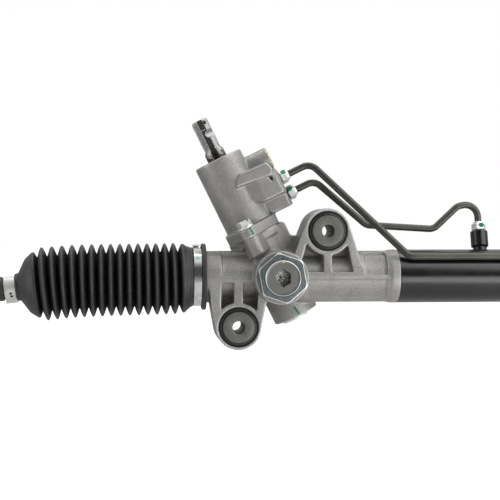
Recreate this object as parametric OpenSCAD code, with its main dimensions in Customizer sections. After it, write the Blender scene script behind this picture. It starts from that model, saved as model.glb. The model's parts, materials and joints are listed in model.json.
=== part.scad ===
// Hydraulic rack and pinion steering gear, built piece by piece in millimetres.
// The rack runs along X, the mounting bolts along Y, and Z is up.
// The origin is the middle of the upper mounting bush bore.

/* [Rack] */
// Diameter of the rack bar
rack_d = 26; // [24:0.5:28]
// Travel of the rack each way from the middle
rack_travel = 72; // [60:1:74]
// Normal module of the rack and pinion teeth
gear_module = 1.9; // [1.8:0.05:2]
// Number of spaces cut in the rack
rack_spaces = 33; // [29:2:35]
// Pressure angle of the teeth
pressure_angle = 20; // [20:0.5:22]
// Distance from the rack axis to the pinion axis
pinion_offset = 16.85; // [16.7:0.05:17]
// Tilt of the pinion axis from upright
tower_tilt = 26.3; // [24:0.1:28]

/* [Pinion] */
// Number of pinion teeth
pinion_teeth = 8; // [8:1:8]
// Length of the toothed part of the pinion
pinion_face = 36; // [34:1:38]
// Profile shift of the pinion, in modules
profile_shift = 0.4; // [0.38:0.01:0.45]
// Gap left at each tooth flank
tooth_play = 0.1; // [0.08:0.01:0.15]
// Diameter of the pinion neck that carries the ball bearing
pinion_neck_d = 20; // [19:0.5:21]
// Diameter of the lower pinion journal
pinion_foot_d = 13; // [12:0.5:13]

/* [Input shaft] */
// Diameter over the input spline
spline_d = 17; // [16:0.5:18]
// Length of the input spline
spline_len = 31; // [28:1:36]
// Diameter of the input shaft in the valve
input_d = 20.4; // [19:0.2:22]
// Length of the input shaft above the valve cover, up to the spline
input_neck = 12; // [10:1:16]
// Diameter of the torsion bar
torsion_d = 5.5; // [5:0.1:6]
// Depth of the pinch bolt groove in the spline
groove_depth = 3; // [2:0.5:3.5]
// Angle of the pinch bolt groove round the shaft, from the front
groove_turn = 40; // [30:1:50]
// Angle of the pin hole round the shaft, from the front
pin_turn = 15; // [10:1:20]
// How much smaller the lead of the spline is, above the pinch bolt groove
lead_play = 0.4; // [0.3:0.1:0.6]
// Outer diameter of the valve sleeve
sleeve_d = 36; // [34:0.5:37]

/* [Rack housing] */
// Outer diameter of the housing barrel
barrel_d = 51.6; // [51:0.2:53]
// Outer diameter of the rim next to the tube
rim_d = 53.8; // [53:0.2:56]
// Depth of the cast panels in the upper half of the barrel
panel_depth = 3.2; // [1.5:0.1:3.5]
// Depth of the long cast band in the lower half of the barrel
band_depth = 1.2; // [0.8:0.1:2]
// Diameter of the barrel's core in the ear pockets
core_d = 41; // [40:0.5:43]
// Distance from the guide axis to the left face of the housing
housing_left = 71.5; // [70:0.5:76]
// Length of the seat under the boot
seat_len = 16.5; // [15:0.5:20]
// Diameter of the seat under the boot
seat_d = 50.4; // [49:0.2:51]
// Distance from the guide axis to the right face of the housing
housing_right = 121; // [118:1:130]
// Length of the housing spigot inside the tube
spigot_len = 29; // [24:1:34]
// Diameter of the hollow round the rack
hollow_d = 31; // [30:0.5:32]
// Diameter of the guide boss
boss_d = 52; // [51:0.5:58]
// Distance from the rack axis to the face of the guide boss
boss_reach = 45; // [43:0.5:48]
// Diameter of the bottom pinion boss
foot_boss_d = 46.5; // [44:0.5:48]
// Distance of the bottom pinion boss's middle from the pinion axis, towards the tube
foot_boss_shift = 2; // [0:0.5:3]
// Distance from the rack axis to the end of the bottom pinion boss
foot_reach = 45; // [44:0.5:50]
// Distance from the rack axis to the valve joint, along the pinion
joint_reach = 47.5; // [47:0.5:50]
// Diameter of the tower below the valve joint
tower_d = 52; // [50:0.5:55]

/* [Mounting ears] */
// Distance from the guide axis to the upper bush, along the rack
upper_ear_x = 48; // [46:0.5:54]
// Height of the upper bush above the rack axis
upper_ear_z = 45.5; // [45:0.5:50]
// Distance from the guide axis to the lower bush, along the rack
lower_ear_x = 40.4; // [39:0.2:44]
// Depth of the lower bush below the rack axis
lower_ear_z = 49.1; // [48:0.1:53]
// Outer diameter of each ear
ear_d = 45; // [44:0.5:48]
// Depth of each ear along the bolt
ear_depth = 48; // [44:1:52]
// Thickness of the web in the middle of each ear
web_t = 8; // [6:0.5:12]
// Width of the middle rib of each ear
rib_w = 8.6; // [7:0.2:11]
// Thickness of the outer legs of each ear
leg_t = 10; // [8:0.5:12]
// Diameter of the bush bore in each ear
bush_d = 39.5; // [38:0.5:40]
// Diameter of the mounting bolt hole
bolt_hole_d = 12.3; // [11:0.1:13]
// Diameter of the steel disc at each end of a bush
disc_d = 31; // [29:0.5:33]
// Length of the bush from face to face
bush_len = 53; // [51:1:58]

/* [Cylinder tube] */
// Outer diameter of the tube
tube_d = 53.6; // [53:0.2:54.2]
// Wall of the tube
tube_wall = 3.5; // [3:0.1:4]
// Length of the tube
tube_len = 331; // [325:1:345]
// Diameter of the port bosses on the tube
port_d = 17.6; // [16:0.1:18]
// Distance from each port boss to the seal beside it
port_gap = 1.4; // [1:0.1:3]
// Diameter of the neck of each port boss on the tube
port_neck_d = 13.6; // [12:0.1:15]
// Height of the port bosses above the tube axis
port_reach = 47.5; // [44:0.5:52]
// Backward lean of the port bosses
port_lean = 15; // [10:1:20]
// Length of the sleeve that carries the inner rack seal
inner_sleeve_len = 50; // [46:1:54]
// Length of the seal, bush and stopper at the right end
end_stack = 55; // [52:1:60]
// Thickness of the piston
piston_t = 20; // [16:1:24]

/* [Valve housing] */
// Diameter of the valve housing
valve_d = 49.8; // [48:0.2:52]
// Thickness of the valve flange
flange_t = 10; // [8:0.5:12]
// Height of the valve housing above its flange
valve_h = 74; // [72:1:78]
// Distance from the pinion axis to each flange bolt
flange_bolt_r = 37.5; // [36:0.5:40]
// Angle of the flange bolts round the pinion axis
flange_bolt_angle = 12.6; // [10:0.2:16]
// Distance from the pinion axis to the end of the port block
block_reach = 49; // [46:0.5:52]
// Height of the lower pipe port above the valve joint
low_port_rise = 21.4; // [20.6:0.1:22.4]
// Height of the upper pipe port above the valve joint
high_port_rise = 39.1; // [38.5:0.1:40.5]
// Height of the pressure and return ports above the valve joint
pressure_rise = 62.5; // [61.5:0.5:64.5]
// Diameter of the pressure and return port bosses
pressure_d = 22.8; // [21:0.2:24]
// Diameter of the hole in the pressure port
pressure_hole_d = 14; // [12:0.5:15]
// Diameter of the hole in the return port
return_hole_d = 12; // [10:0.5:13]

/* [Guide and caps] */
// Diameter of the rack guide
guide_d = 33; // [30:0.5:34]
// Diameter of the adjusting cap
cap_d = 34.7; // [34.5:0.1:36]
// Distance from the rack axis to the face of the adjusting cap
cap_reach = 55; // [54:0.5:58]
// Width of the lock nut across its flats
lock_nut_af = 41; // [40:0.5:43]
// Thickness of the lock nut
lock_nut_t = 8; // [6:0.5:9]
// Width of the hexagon socket across its flats
socket_af = 14.7; // [13:0.1:17]
// Diameter of the plug below the pinion
plug_d = 27; // [26:0.5:29]

/* [Tie rods] */
// Diameter of each tie rod
tie_d = 17; // [16:0.5:17.5]
// Length of each tie rod from its ball centre
tie_len = 210; // [200:5:240]
// Droop of each tie rod at rest
tie_droop = 6.5; // [6:0.1:7]
// Diameter of the inner ball
ball_d = 29; // [27:0.5:30]
// Diameter of the inner ball socket
socket_d = 38; // [37:0.5:39]
// Diameter of the tie rod thread
thread_d = 14; // [13:0.5:15]
// Length of the tie rod thread
thread_len = 60; // [50:1:70]

/* [Boots] */
// Diameter over the boot folds
fold_d = 71.6; // [69:0.2:73]
// Depth of the boot folds
fold_depth = 9.4; // [7:0.1:10]
// Number of boot folds
fold_count = 16; // [14:1:16]
// Wall of the boot
boot_wall = 1.4; // [1.2:0.1:1.6]
// Diameter of the boot lip against the housing
lip_d = 66; // [63:0.5:68]
// Width of the large boot clamp
clamp_w = 7.9; // [6:0.1:9]
// Width of the small boot clip
clip_w = 11.8; // [9:0.2:13]

/* [Pipes] */
// Outer diameter of the pipes
pipe_d = 7; // [6:0.1:7.4]
// Width of the flare nuts across their flats
flare_af = 13; // [12:0.5:14]
// Inside radius of the pipe bends, to the pipe axis
pipe_bend = 12; // [10:0.5:14]

/* [Hidden] */
$fn = 72;

// Clearance of a pressed or screwed fit
fit = 0.03;
// Clearance of a running fit
run = 0.06;
// Clearance between pieces that pass each other
clear = 0.4;
// Overshoot of a cut past the face that it opens
past = 1;

cast_colour = "#a9a9a5";
steel_colour = "#8a8b8c";
zinc_colour = "#b9bcba";
black_colour = "#1c1c1d";
rubber_colour = "#232323";
pipe_colour = "#3a3a34";

// Sizes of the ball joint at each end of the rack, and of the counterbore that stops it
socket_back = 24;
socket_mouth = 9;
washer_t = 2;
seat_wall = 1.5;
counterbore_depth = 15;
counterbore_d = socket_d + 2.5;
stop_gap = 1;
ball_gap = rack_travel + socket_back + washer_t + stop_gap - counterbore_depth;

rack_r = rack_d / 2;
tube_r = tube_d / 2;
tube_bore = tube_r - tube_wall;
left_end = -housing_left - seat_len;
tube_end = housing_right + tube_len;
left_ball = left_end - ball_gap;
right_ball = tube_end + ball_gap;
middle = (left_ball + right_ball) / 2;
seal_start = housing_right + spigot_len;
seal_end = seal_start + inner_sleeve_len;
stack_start = tube_end - end_stack;
piston_x = (seal_end + stack_start) / 2;
near_port = seal_end + port_gap + port_d / 2;
far_port = stack_start - port_gap - port_d / 2;

rack_left = left_ball + socket_back + washer_t;
rack_right = right_ball - socket_back - washer_t;

// Tooth sizes
pitch = PI * gear_module;
pitch_r = pinion_teeth * gear_module / 2 / cos(tower_tilt);
side_angle = atan(tan(pressure_angle) / cos(tower_tilt));
base_r = pitch_r * cos(side_angle);
tip_r = pitch_r + gear_module * (0.9 + profile_shift);
root_r = pitch_r - gear_module * (1.25 - profile_shift);
tooth_line = pinion_offset - pitch_r - profile_shift * gear_module;
rack_tip = tooth_line + gear_module;
rack_root = tooth_line - 1.25 * gear_module;
pinion_turn = pinion_face * tan(tower_tilt) / pitch_r * 180 / PI;
turn_steps = 16;

// Places along the pinion axis, measured from the rack axis
pilot_len = 6;
pilot_d = 43.4;
bearing_t = 12;
bearing_d = 42;
collar_end = joint_reach - pilot_len - bearing_t - 2.5;
sleeve_len = 61;
sleeve_start = joint_reach + 2.5;
sleeve_end = sleeve_start + sleeve_len;
pinion_top = sleeve_start + 6;
input_start = pinion_top + 2;
low_port_s = joint_reach + low_port_rise;
high_port_s = joint_reach + high_port_rise;
pressure_s = joint_reach + pressure_rise;
flange_top = joint_reach + flange_t;
valve_top = flange_top + valve_h;
spline_start = valve_top + input_neck;
input_top = spline_start + spline_len;
seal_t = 8;
seal_d = 34;
needle_t = 7;
needle_d = 28;
foot_bearing_t = 12;
foot_bearing_d = 22;
foot_bearing_end = -pinion_face / 2 - 2;
plug_t = 10;
plug_proud = 3;

// Puts rack places into the frame of the part
module placed() {
    translate([-upper_ear_x, 0, -upper_ear_z])
        children();
}

// Puts pinion places, measured along and across its axis, into rack places
module on_pinion() {
    rotate([0, -tower_tilt, 0])
        translate([0, pinion_offset, 0])
            children();
}

// A round bar along X from one place to another
module bar_x(from, to, d) {
    translate([from, 0, 0])
        rotate([0, 90, 0])
            cylinder(h = to - from, d = d);
}

// A round bar along the viewing side, from one distance in front of the rack axis to another
module bar_y(from, to, d) {
    translate([0, -from, 0])
        rotate([90, 0, 0])
            cylinder(h = to - from, d = d);
}

// A round bar along the pinion axis
module bar_s(from, to, d) {
    translate([0, 0, from])
        cylinder(h = to - from, d = d);
}

// A round bar that leaves the pinion axis sideways, at a height along it
module bar_side(s, from, to, d) {
    translate([from, 0, s])
        rotate([0, 90, 0])
            cylinder(h = to - from, d = d);
}

// A hexagonal bar whose width is measured across its flats
module hex_bar(af, h, turn = 0) {
    rotate([0, 0, turn])
        cylinder(h = h, d = af / cos(30), $fn = 6);
}

// A ring along X
module ring_x(from, to, outer, inner) {
    difference() {
        bar_x(from, to, outer);
        bar_x(from - past, to + past, inner);
    }
}

// A ring along the pinion axis
module ring_s(from, to, outer, inner) {
    difference() {
        bar_s(from, to, outer);
        bar_s(from - past, to + past, inner);
    }
}

// Points of a strip that joins two circles by their tangents
function tangent_points(x1, y1, r1, x2, y2, r2) =
    let (
        dx = x2 - x1,
        dy = y2 - y1,
        len = sqrt(dx * dx + dy * dy),
        heading = atan2(dy, dx),
        lean = acos((r1 - r2) / len)
    ) [
        [x1 + r1 * cos(heading + lean), y1 + r1 * sin(heading + lean)],
        [x2 + r2 * cos(heading + lean), y2 + r2 * sin(heading + lean)],
        [x2 + r2 * cos(heading - lean), y2 + r2 * sin(heading - lean)],
        [x1 + r1 * cos(heading - lean), y1 + r1 * sin(heading - lean)],
    ];

// Rack and pinion

function involute(angle) = tan(angle) * 180 / PI - angle;
function roll_angle(r) = acos(min(1, base_r / r));
tooth_arc = (gear_module * (PI / 2 + 2 * profile_shift * tan(pressure_angle)) - 2 * tooth_play)
    / cos(tower_tilt);
half_tooth = tooth_arc / 2 / pitch_r * 180 / PI + involute(side_angle);
function flank_angle(r) = half_tooth - involute(roll_angle(max(r, base_r)));
flank_steps = 4;
flank_radii = concat(
    [root_r],
    [for (i = [0 : flank_steps - 1]) base_r + (tip_r - base_r) * i / (flank_steps - 1)]
);
function tooth_points(middle_angle) = concat(
    [for (r = flank_radii) [r * cos(middle_angle - flank_angle(r)), r * sin(middle_angle - flank_angle(r))]],
    [for (i = [len(flank_radii) - 1 : -1 : 0])
        let (r = flank_radii[i], a = middle_angle + flank_angle(r))
        [r * cos(a), r * sin(a)]]
);

module pinion_profile() {
    polygon([
        for (tooth = [0 : pinion_teeth - 1])
            each tooth_points(-90 + tooth * 360 / pinion_teeth)
    ]);
}

// Height of the torsion bar's foot in the pinion
torsion_foot = pinion_face / 2 + 6;

module pinion() {
    color(steel_colour) placed() on_pinion()
        difference() {
            union() {
                translate([0, 0, -pinion_face / 2])
                    rotate([0, 0, -pinion_turn / 2])
                        linear_extrude(height = pinion_face, twist = -pinion_turn, slices = turn_steps)
                            pinion_profile();
                bar_s(foot_bearing_end - foot_bearing_t, -pinion_face / 2 + 2, pinion_foot_d);
                bar_s(pinion_face / 2 - past, collar_end, pinion_neck_d + 2.4);
                bar_s(collar_end, pinion_top, pinion_neck_d);
            }
            bar_s(torsion_foot, pinion_top + past, torsion_d + 2 * fit);
        }
}

// Comb of tooth spaces, seen along the teeth
rack_comb = concat(
    [[-pitch * (rack_spaces / 2 + 1), rack_r + past]],
    [for (i = [0 : rack_spaces - 1])
        let (
            x = (i - (rack_spaces - 1) / 2) * pitch,
            top = pitch / 4 + gear_module * tan(pressure_angle),
            low = pitch / 4 - 1.25 * gear_module * tan(pressure_angle)
        )
        each [[x - top, rack_tip], [x - low, rack_root], [x + low, rack_root], [x + top, rack_tip]]],
    [[pitch * (rack_spaces / 2 + 1), rack_r + past]]
);

module rack_bar() {
    color(steel_colour) placed()
        difference() {
            bar_x(rack_left, rack_right, rack_d);
            translate([0, 0, -rack_r - past])
                linear_extrude(height = rack_d + 2 * past)
                    polygon(rack_comb);
        }
}

module piston() {
    color(steel_colour) placed()
        difference() {
            bar_x(piston_x - piston_t / 2, piston_x + piston_t / 2, 2 * tube_bore - 2 * clear);
            bar_x(piston_x - piston_t, piston_x + piston_t, rack_d + 2 * fit);
            ring_x(piston_x - 3, piston_x + 3, 2 * tube_bore, 2 * tube_bore - 6);
        }
}

module piston_ring() {
    color("#3d4a44") placed()
        ring_x(piston_x - 3 + fit, piston_x + 3 - fit, 2 * tube_bore - 2 * run, 2 * tube_bore - 6 + 2 * fit);
}

// Rack housing

// Outline of an ear, seen along the bolt: a round end on two spreading legs
module ear_outline(x, z, foot_left, foot_right) {
    translate([x, z])
        circle(d = ear_d);
    polygon([
        tangent_points(x, z, ear_d / 2, foot_left, 0, 2)[z > 0 ? 3 : 0],
        tangent_points(x, z, ear_d / 2, foot_right, 0, 2)[z > 0 ? 0 : 3],
        [foot_right + 2, 0],
        [foot_left - 2, 0],
    ]);
}

// One cast pocket of an ear, between a leg and the middle rib
module ear_pocket(points) {
    for (side = [-1, 1])
        translate([0, side > 0 ? web_t / 2 : -ear_depth / 2 - past, 0])
            rotate([90, 0, 0])
                translate([0, 0, -ear_depth / 2 + web_t / 2 - past])
                    linear_extrude(height = ear_depth / 2 - web_t / 2 + past)
                        polygon(points);
}

upper_foot_left = 8;
upper_foot_right = 84;
lower_foot_left = -70;
lower_foot_right = -10;
pocket_gap = ear_d / 2 + 1.5;
// Distance from the rack axis to the flat foot of the pockets above it, and of those below it
pocket_start = 2;
low_pocket_start = 4.5;
// How much thicker the leg beside the boot is
thick_leg = 3;

module ears() {
    rotate([90, 0, 0])
        translate([0, 0, -ear_depth / 2])
            linear_extrude(height = ear_depth) {
                ear_outline(upper_ear_x, upper_ear_z, upper_foot_left, upper_foot_right);
                ear_outline(-lower_ear_x, -lower_ear_z, lower_foot_left, lower_foot_right);
            }
}

// Pocket corners: the rib side, the leg side and the foot side
function pocket_points(x, z, foot, side) = [
    [x + side * rib_w / 2, z],
    [x + side * rib_w / 2, z > 0 ? pocket_start : -low_pocket_start],
    [foot - side * leg_t, z > 0 ? pocket_start : -low_pocket_start],
    [x + side * (ear_d / 2 - leg_t / 2), z],
];

module ear_pockets() {
    difference() {
        union() {
            ear_pocket(pocket_points(upper_ear_x, upper_ear_z, upper_foot_left, -1));
            ear_pocket(pocket_points(upper_ear_x, upper_ear_z, upper_foot_right, 1));
            ear_pocket(pocket_points(-lower_ear_x, -lower_ear_z, lower_foot_left + thick_leg, -1));
            ear_pocket(pocket_points(-lower_ear_x, -lower_ear_z, lower_foot_right, 1));
        }
        for (ear = [[upper_ear_x, upper_ear_z], [-lower_ear_x, -lower_ear_z]])
            translate([ear[0], 0, ear[1]])
                bar_y(-ear_depth, ear_depth, 2 * pocket_gap);
        bar_x(left_end, seal_start, core_d);
        bar_y(-ear_depth, ear_depth, boss_d);
    }
}

panel_inner = 8;
rim_len = 8;
rim_taper = 3;
rim_start = housing_right - rim_len;
panel_end = rim_start - rim_taper - 2;

// A cast panel in the front and back of the barrel, from one place along it to another and between two heights
module panel(from, to, low, high, depth) {
    intersection() {
        ring_x(from, to, barrel_d + 2 * past, barrel_d - 2 * depth);
        for (side = [-1, 1])
            translate([from, side > 0 ? panel_inner : -barrel_d, low])
                cube([to - from, barrel_d - panel_inner, high - low]);
    }
}

module barrel_shape() {
    upper_high = barrel_d / 2 - 1.8;
    difference() {
        union() {
            bar_x(-housing_left, rim_start, barrel_d);
            translate([rim_start - rim_taper, 0, 0])
                rotate([0, 90, 0])
                    cylinder(h = rim_taper, d1 = barrel_d, d2 = rim_d);
            bar_x(rim_start, housing_right, rim_d);
        }
        panel(-housing_left + 15, -24, 1.5, upper_high, panel_depth);
        panel(upper_foot_right + 1, panel_end, pocket_start, upper_high, panel_depth);
        panel(27, panel_end, -21.5, -pocket_start, band_depth);
    }
    bar_x(left_end, -housing_left + past, seat_d);
    bar_x(housing_right - past, seal_start, 2 * tube_bore - 2 * fit);
}

// A web in front of the pinion axis that ties the tower to the upper ear
module tower_web() {
    web_back = 12;
    rotate([90, 0, 0])
        translate([0, 0, -web_back])
            linear_extrude(height = web_back + 2)
                polygon([[-5, 20], [-5, 48], [4, 55], [7.5, 54.6], [13.6, 41.4], [34, 41.4], [34, 20]]);
}

// Tower for the pinion, with a lug for each flange bolt
module tower_shape() {
    translate([foot_boss_shift, 0, 0])
        bar_s(-foot_reach, 0, foot_boss_d);
    bar_s(-5, joint_reach, tower_d);
    bar_s(joint_reach - 8, joint_reach, tower_d + 5);
    bolt_lugs(joint_reach - 19, joint_reach);
}

// Place of each flange bolt round the pinion axis
function bolt_place(side) = [
    -side * flange_bolt_r * sin(flange_bolt_angle),
    -side * flange_bolt_r * cos(flange_bolt_angle),
];

lug_r = 8;

module bolt_lugs(from, to) {
    for (side = [-1, 1])
        translate([0, 0, from])
            linear_extrude(height = to - from) {
                translate(bolt_place(side))
                    circle(r = lug_r);
                polygon(tangent_points(0, 0, 16, bolt_place(side)[0], bolt_place(side)[1], lug_r));
            }
}

bolt_d = 8;
bolt_depth = 16;

module bolt_holes(from, to, d) {
    for (side = [-1, 1])
        translate([bolt_place(side)[0], bolt_place(side)[1], from])
            cylinder(h = to - from, d = d);
}

module housing_hollows() {
    bar_x(left_end - past, seal_start + past, hollow_d);
    bar_x(left_end - past, left_end + counterbore_depth, counterbore_d);
    bar_y(0, boss_reach + past, guide_d + 2 * run);
    bar_y(boss_reach - 9, boss_reach + past, cap_d + 2 * fit);
    for (ear = [[upper_ear_x, upper_ear_z], [-lower_ear_x, -lower_ear_z]])
        translate([ear[0], 0, ear[1]])
            bar_y(-ear_depth, ear_depth, bush_d);
    on_pinion() {
        bar_s(foot_bearing_end - past, collar_end + past, 2 * tip_r + 2.4);
        bar_s(collar_end, joint_reach + past, bearing_d + 2 * fit);
        bar_s(joint_reach - pilot_len - clear, joint_reach + past, pilot_d + 2 * fit);
        bar_s(-foot_reach - past, foot_bearing_end, foot_bearing_d + 2 * fit);
        bar_s(-foot_reach - past, -foot_reach + plug_t - plug_proud + fit, plug_d - 2 + 2 * fit);
        bolt_holes(joint_reach - bolt_depth - 2, joint_reach + past, bolt_d + 2 * fit);
    }
}

module rack_housing() {
    color(cast_colour) placed()
        difference() {
            union() {
                difference() {
                    union() {
                        ears();
                        barrel_shape();
                    }
                    ear_pockets();
                }
                bar_y(0, boss_reach, boss_d);
                tower_web();
                on_pinion()
                    tower_shape();
            }
            housing_hollows();
        }
}

// Bushes in the ears

module bush_rubber() {
    difference() {
        bar_y(-ear_depth / 2 + 1, ear_depth / 2 - 1, bush_d - 2 * fit);
        bar_y(-ear_depth, ear_depth, 20 + 2 * fit);
    }
}

module bush_sleeve() {
    difference() {
        union() {
            bar_y(-bush_len / 2, bush_len / 2, 20);
            bar_y(ear_depth / 2 - 1 + fit, bush_len / 2, disc_d);
            bar_y(-bush_len / 2, -ear_depth / 2 + 1 - fit, disc_d);
        }
        bar_y(-bush_len, bush_len, bolt_hole_d);
    }
}

module at_lower_ear() {
    translate([-upper_ear_x - lower_ear_x, 0, -upper_ear_z - lower_ear_z])
        children();
}

module upper_bush_rubber() {
    color(rubber_colour)
        bush_rubber();
}

module upper_bush_sleeve() {
    color("#686862")
        bush_sleeve();
}

module lower_bush_rubber() {
    color(rubber_colour) at_lower_ear()
        bush_rubber();
}

module lower_bush_sleeve() {
    color("#686862") at_lower_ear()
        bush_sleeve();
}

// Rack guide

cap_depth = 9;
guide_back = 30;
spring_d = 18;
spring_wire = 2.6;
spring_turns = 3;
liner_t = 1.2;
cap_inner = boss_reach - 8;

module rack_guide() {
    color("#9a9a98") placed()
        difference() {
            bar_y(4, guide_back, guide_d);
            bar_x(-guide_d, guide_d, rack_d + 2 * run + 2 * liner_t + 2 * fit);
            bar_y(guide_back - 8, guide_back + past, spring_d + spring_wire + 2 * clear);
        }
}

module rack_guide_liner() {
    color("#5b4f3a") placed()
        intersection() {
            ring_x(-guide_d, guide_d, rack_d + 2 * run + 2 * liner_t, rack_d + 2 * run);
            bar_y(4, guide_back, guide_d - 2);
        }
}

// A coil of round wire, swept as rings of eight points
coil_sides = 8;
coil_steps = 16 * spring_turns;
coil_len = cap_inner - guide_back + 8 - spring_wire;

function coil_ring(i) =
    let (
        turn = 360 * spring_turns * i / coil_steps,
        rise = coil_len * i / coil_steps
    )
    [for (k = [0 : coil_sides - 1])
        let (
            a = 360 * k / coil_sides,
            r = spring_d / 2 + spring_wire / 2 * cos(a)
        )
        [r * cos(turn), r * sin(turn), rise + spring_wire / 2 * sin(a)]];

function side_faces(rings, sides) = [
    for (i = [0 : rings - 2], k = [0 : sides - 1])
        let (n = (k + 1) % sides)
        [i * sides + k, i * sides + n, (i + 1) * sides + n, (i + 1) * sides + k]
];

module rack_guide_spring() {
    rings = coil_steps + 1;
    color(steel_colour) placed()
        translate([0, -(guide_back - 8 + spring_wire / 2), 0])
            rotate([90, 0, 0])
                polyhedron(
                    points = [for (i = [0 : coil_steps]) each coil_ring(i)],
                    faces = concat(
                        [[for (k = [coil_sides - 1 : -1 : 0]) k]],
                        side_faces(rings, coil_sides),
                        [[for (k = [0 : coil_sides - 1]) (rings - 1) * coil_sides + k]]
                    )
                );
}

module rack_guide_cap() {
    color("#9a9a98") placed()
        difference() {
            bar_y(cap_inner, cap_reach, cap_d);
            translate([0, -cap_reach + cap_depth, 0])
                rotate([90, 0, 0])
                    hex_bar(socket_af, cap_depth + past, 30);
        }
}

module guide_lock_nut() {
    color(zinc_colour) placed()
        difference() {
            intersection() {
                translate([0, -boss_reach, 0])
                    rotate([90, 0, 0])
                        hex_bar(lock_nut_af, lock_nut_t, 41);
                translate([0, -boss_reach, 0])
                    rotate([90, 0, 0])
                        cylinder(
                            h = lock_nut_t,
                            d1 = lock_nut_af * 1.5,
                            d2 = lock_nut_af * 1.07
                        );
            }
            bar_y(boss_reach - past, cap_reach, cap_d + 2 * fit);
        }
}

// Pinion bearings and plug

module ball_bearing(from, t, outer, inner) {
    race = (outer - inner) / 2 * 0.3;
    ball = (outer - inner) / 2 * 0.5;
    ring_r = (outer + inner) / 4;
    translate([0, 0, from]) {
        difference() {
            cylinder(h = t, d = outer);
            translate([0, 0, -past])
                cylinder(h = t + 2 * past, d = outer - 2 * race);
            translate([0, 0, t / 2])
                rotate_extrude()
                    translate([ring_r, 0])
                        circle(d = ball + 2 * run);
        }
        difference() {
            cylinder(h = t, d = inner + 2 * race);
            translate([0, 0, -past])
                cylinder(h = t + 2 * past, d = inner);
            translate([0, 0, t / 2])
                rotate_extrude()
                    translate([ring_r, 0])
                        circle(d = ball + 2 * run);
        }
        for (a = [0 : 40 : 320])
            rotate([0, 0, a])
                translate([ring_r, 0, t / 2])
                    sphere(d = ball, $fn = 24);
    }
}

module pinion_upper_bearing() {
    color(steel_colour) placed() on_pinion()
        ball_bearing(collar_end, bearing_t, bearing_d, pinion_neck_d + 2 * run);
}

module pinion_lower_bearing() {
    color(steel_colour) placed() on_pinion()
        ring_s(foot_bearing_end - foot_bearing_t, foot_bearing_end - fit, foot_bearing_d, pinion_foot_d + 2 * run);
}

module pinion_end_plug() {
    color(zinc_colour) placed() on_pinion() {
        bar_s(-foot_reach - plug_proud, -foot_reach - fit, plug_d);
        bar_s(-foot_reach - plug_proud, -foot_reach + plug_t - plug_proud, plug_d - 2);
    }
}

// Rotary valve

module valve_sleeve() {
    color(steel_colour) placed() on_pinion()
        difference() {
            bar_s(sleeve_start, sleeve_end, sleeve_d - 2 * run);
            bar_s(sleeve_start - past, pinion_top, pinion_neck_d + 2 * fit);
            bar_s(pinion_top - past, sleeve_end + past, input_d + 2 * run);
            for (i = [0 : 3])
                ring_s(ring_place(i), ring_place(i) + ring_w, sleeve_d + past, sleeve_d - 5);
            for (i = [0 : 2], a = [0 : 90 : 270])
                translate([0, 0, (ring_place(i) + ring_place(i + 1) + ring_w) / 2])
                    rotate([0, 90, a + 20 * i])
                        cylinder(h = sleeve_d, d = 4);
        }
}

ring_w = 3;
function ring_place(i) = sleeve_start + 6 + i * (sleeve_end - sleeve_start - 12 - ring_w) / 3;

module sleeve_rings() {
    color("#3d4a44") placed() on_pinion()
        for (i = [0 : 3])
            ring_s(
                ring_place(i) + fit,
                ring_place(i) + ring_w - fit,
                sleeve_d - run,
                sleeve_d - 5 + 2 * fit
            );
}

// Depth below the tip of the torsion bar's end, its pin and the groove for the pinch bolt
torsion_drop = 4;
pin_drop = 7;
pin_d = 3.5;
groove_drop = 15;
groove_r = 4.6;
groove_place = input_top - groove_drop;
tip_chamfer = 1;
torsion_grip = 10;

module input_shaft() {
    neck_taper = 4;
    color(steel_colour) placed() on_pinion()
        difference() {
            union() {
                bar_s(input_start, spline_start - neck_taper, input_d);
                translate([0, 0, spline_start - neck_taper])
                    cylinder(h = neck_taper, d1 = input_d, d2 = spline_d);
                bar_s(spline_start, groove_place, spline_d);
                bar_s(groove_place - past, input_top - tip_chamfer, spline_d - lead_play);
                translate([0, 0, input_top - tip_chamfer])
                    cylinder(h = tip_chamfer, d1 = spline_d - lead_play, d2 = spline_d - lead_play - 2 * tip_chamfer);
            }
            bar_s(input_start - past, input_top - torsion_drop - torsion_grip, torsion_d + 2 * clear);
            bar_s(input_top - torsion_drop - torsion_grip - past, input_top - torsion_drop, torsion_d + 2 * run);
            rotate([0, 0, pin_turn])
                translate([0, 0, input_top - pin_drop])
                    rotate([90, 0, 0])
                        cylinder(h = spline_d, d = pin_d);
            rotate([0, 0, groove_turn])
                translate([0, -spline_d / 2 - groove_r + groove_depth, groove_place])
                    rotate([0, 90, 0])
                        cylinder(h = 2 * spline_d, r = groove_r, center = true);
        }
}

module torsion_bar() {
    color(steel_colour) placed() on_pinion()
        bar_s(torsion_foot + fit, input_top - torsion_drop - clear, torsion_d);
}

// Valve housing

block_bottom = flange_top;
block_step = (low_port_s + high_port_s) / 2 - 5;
block_top = high_port_s + 10.5;
block_back = 14;
block_front = 26;
step_front = 15;
arm_top = pressure_s - 2;
arm_right = block_reach - 6;
arm_front = 28;

// Carries an outline of distance across and along the pinion axis from one depth behind it to one in front
module facing(behind, front) {
    rotate([90, 0, 0])
        translate([0, 0, -behind])
            linear_extrude(height = behind + front)
                children();
}

module valve_flange() {
    linear_extrude(height = flange_t) {
        circle(d = valve_d + 6);
        for (side = [-1, 1]) {
            translate(bolt_place(side))
                circle(r = lug_r + 1);
            polygon(tangent_points(0, 0, valve_d / 2 + 3, bolt_place(side)[0], bolt_place(side)[1], lug_r + 1));
        }
    }
}

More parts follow.
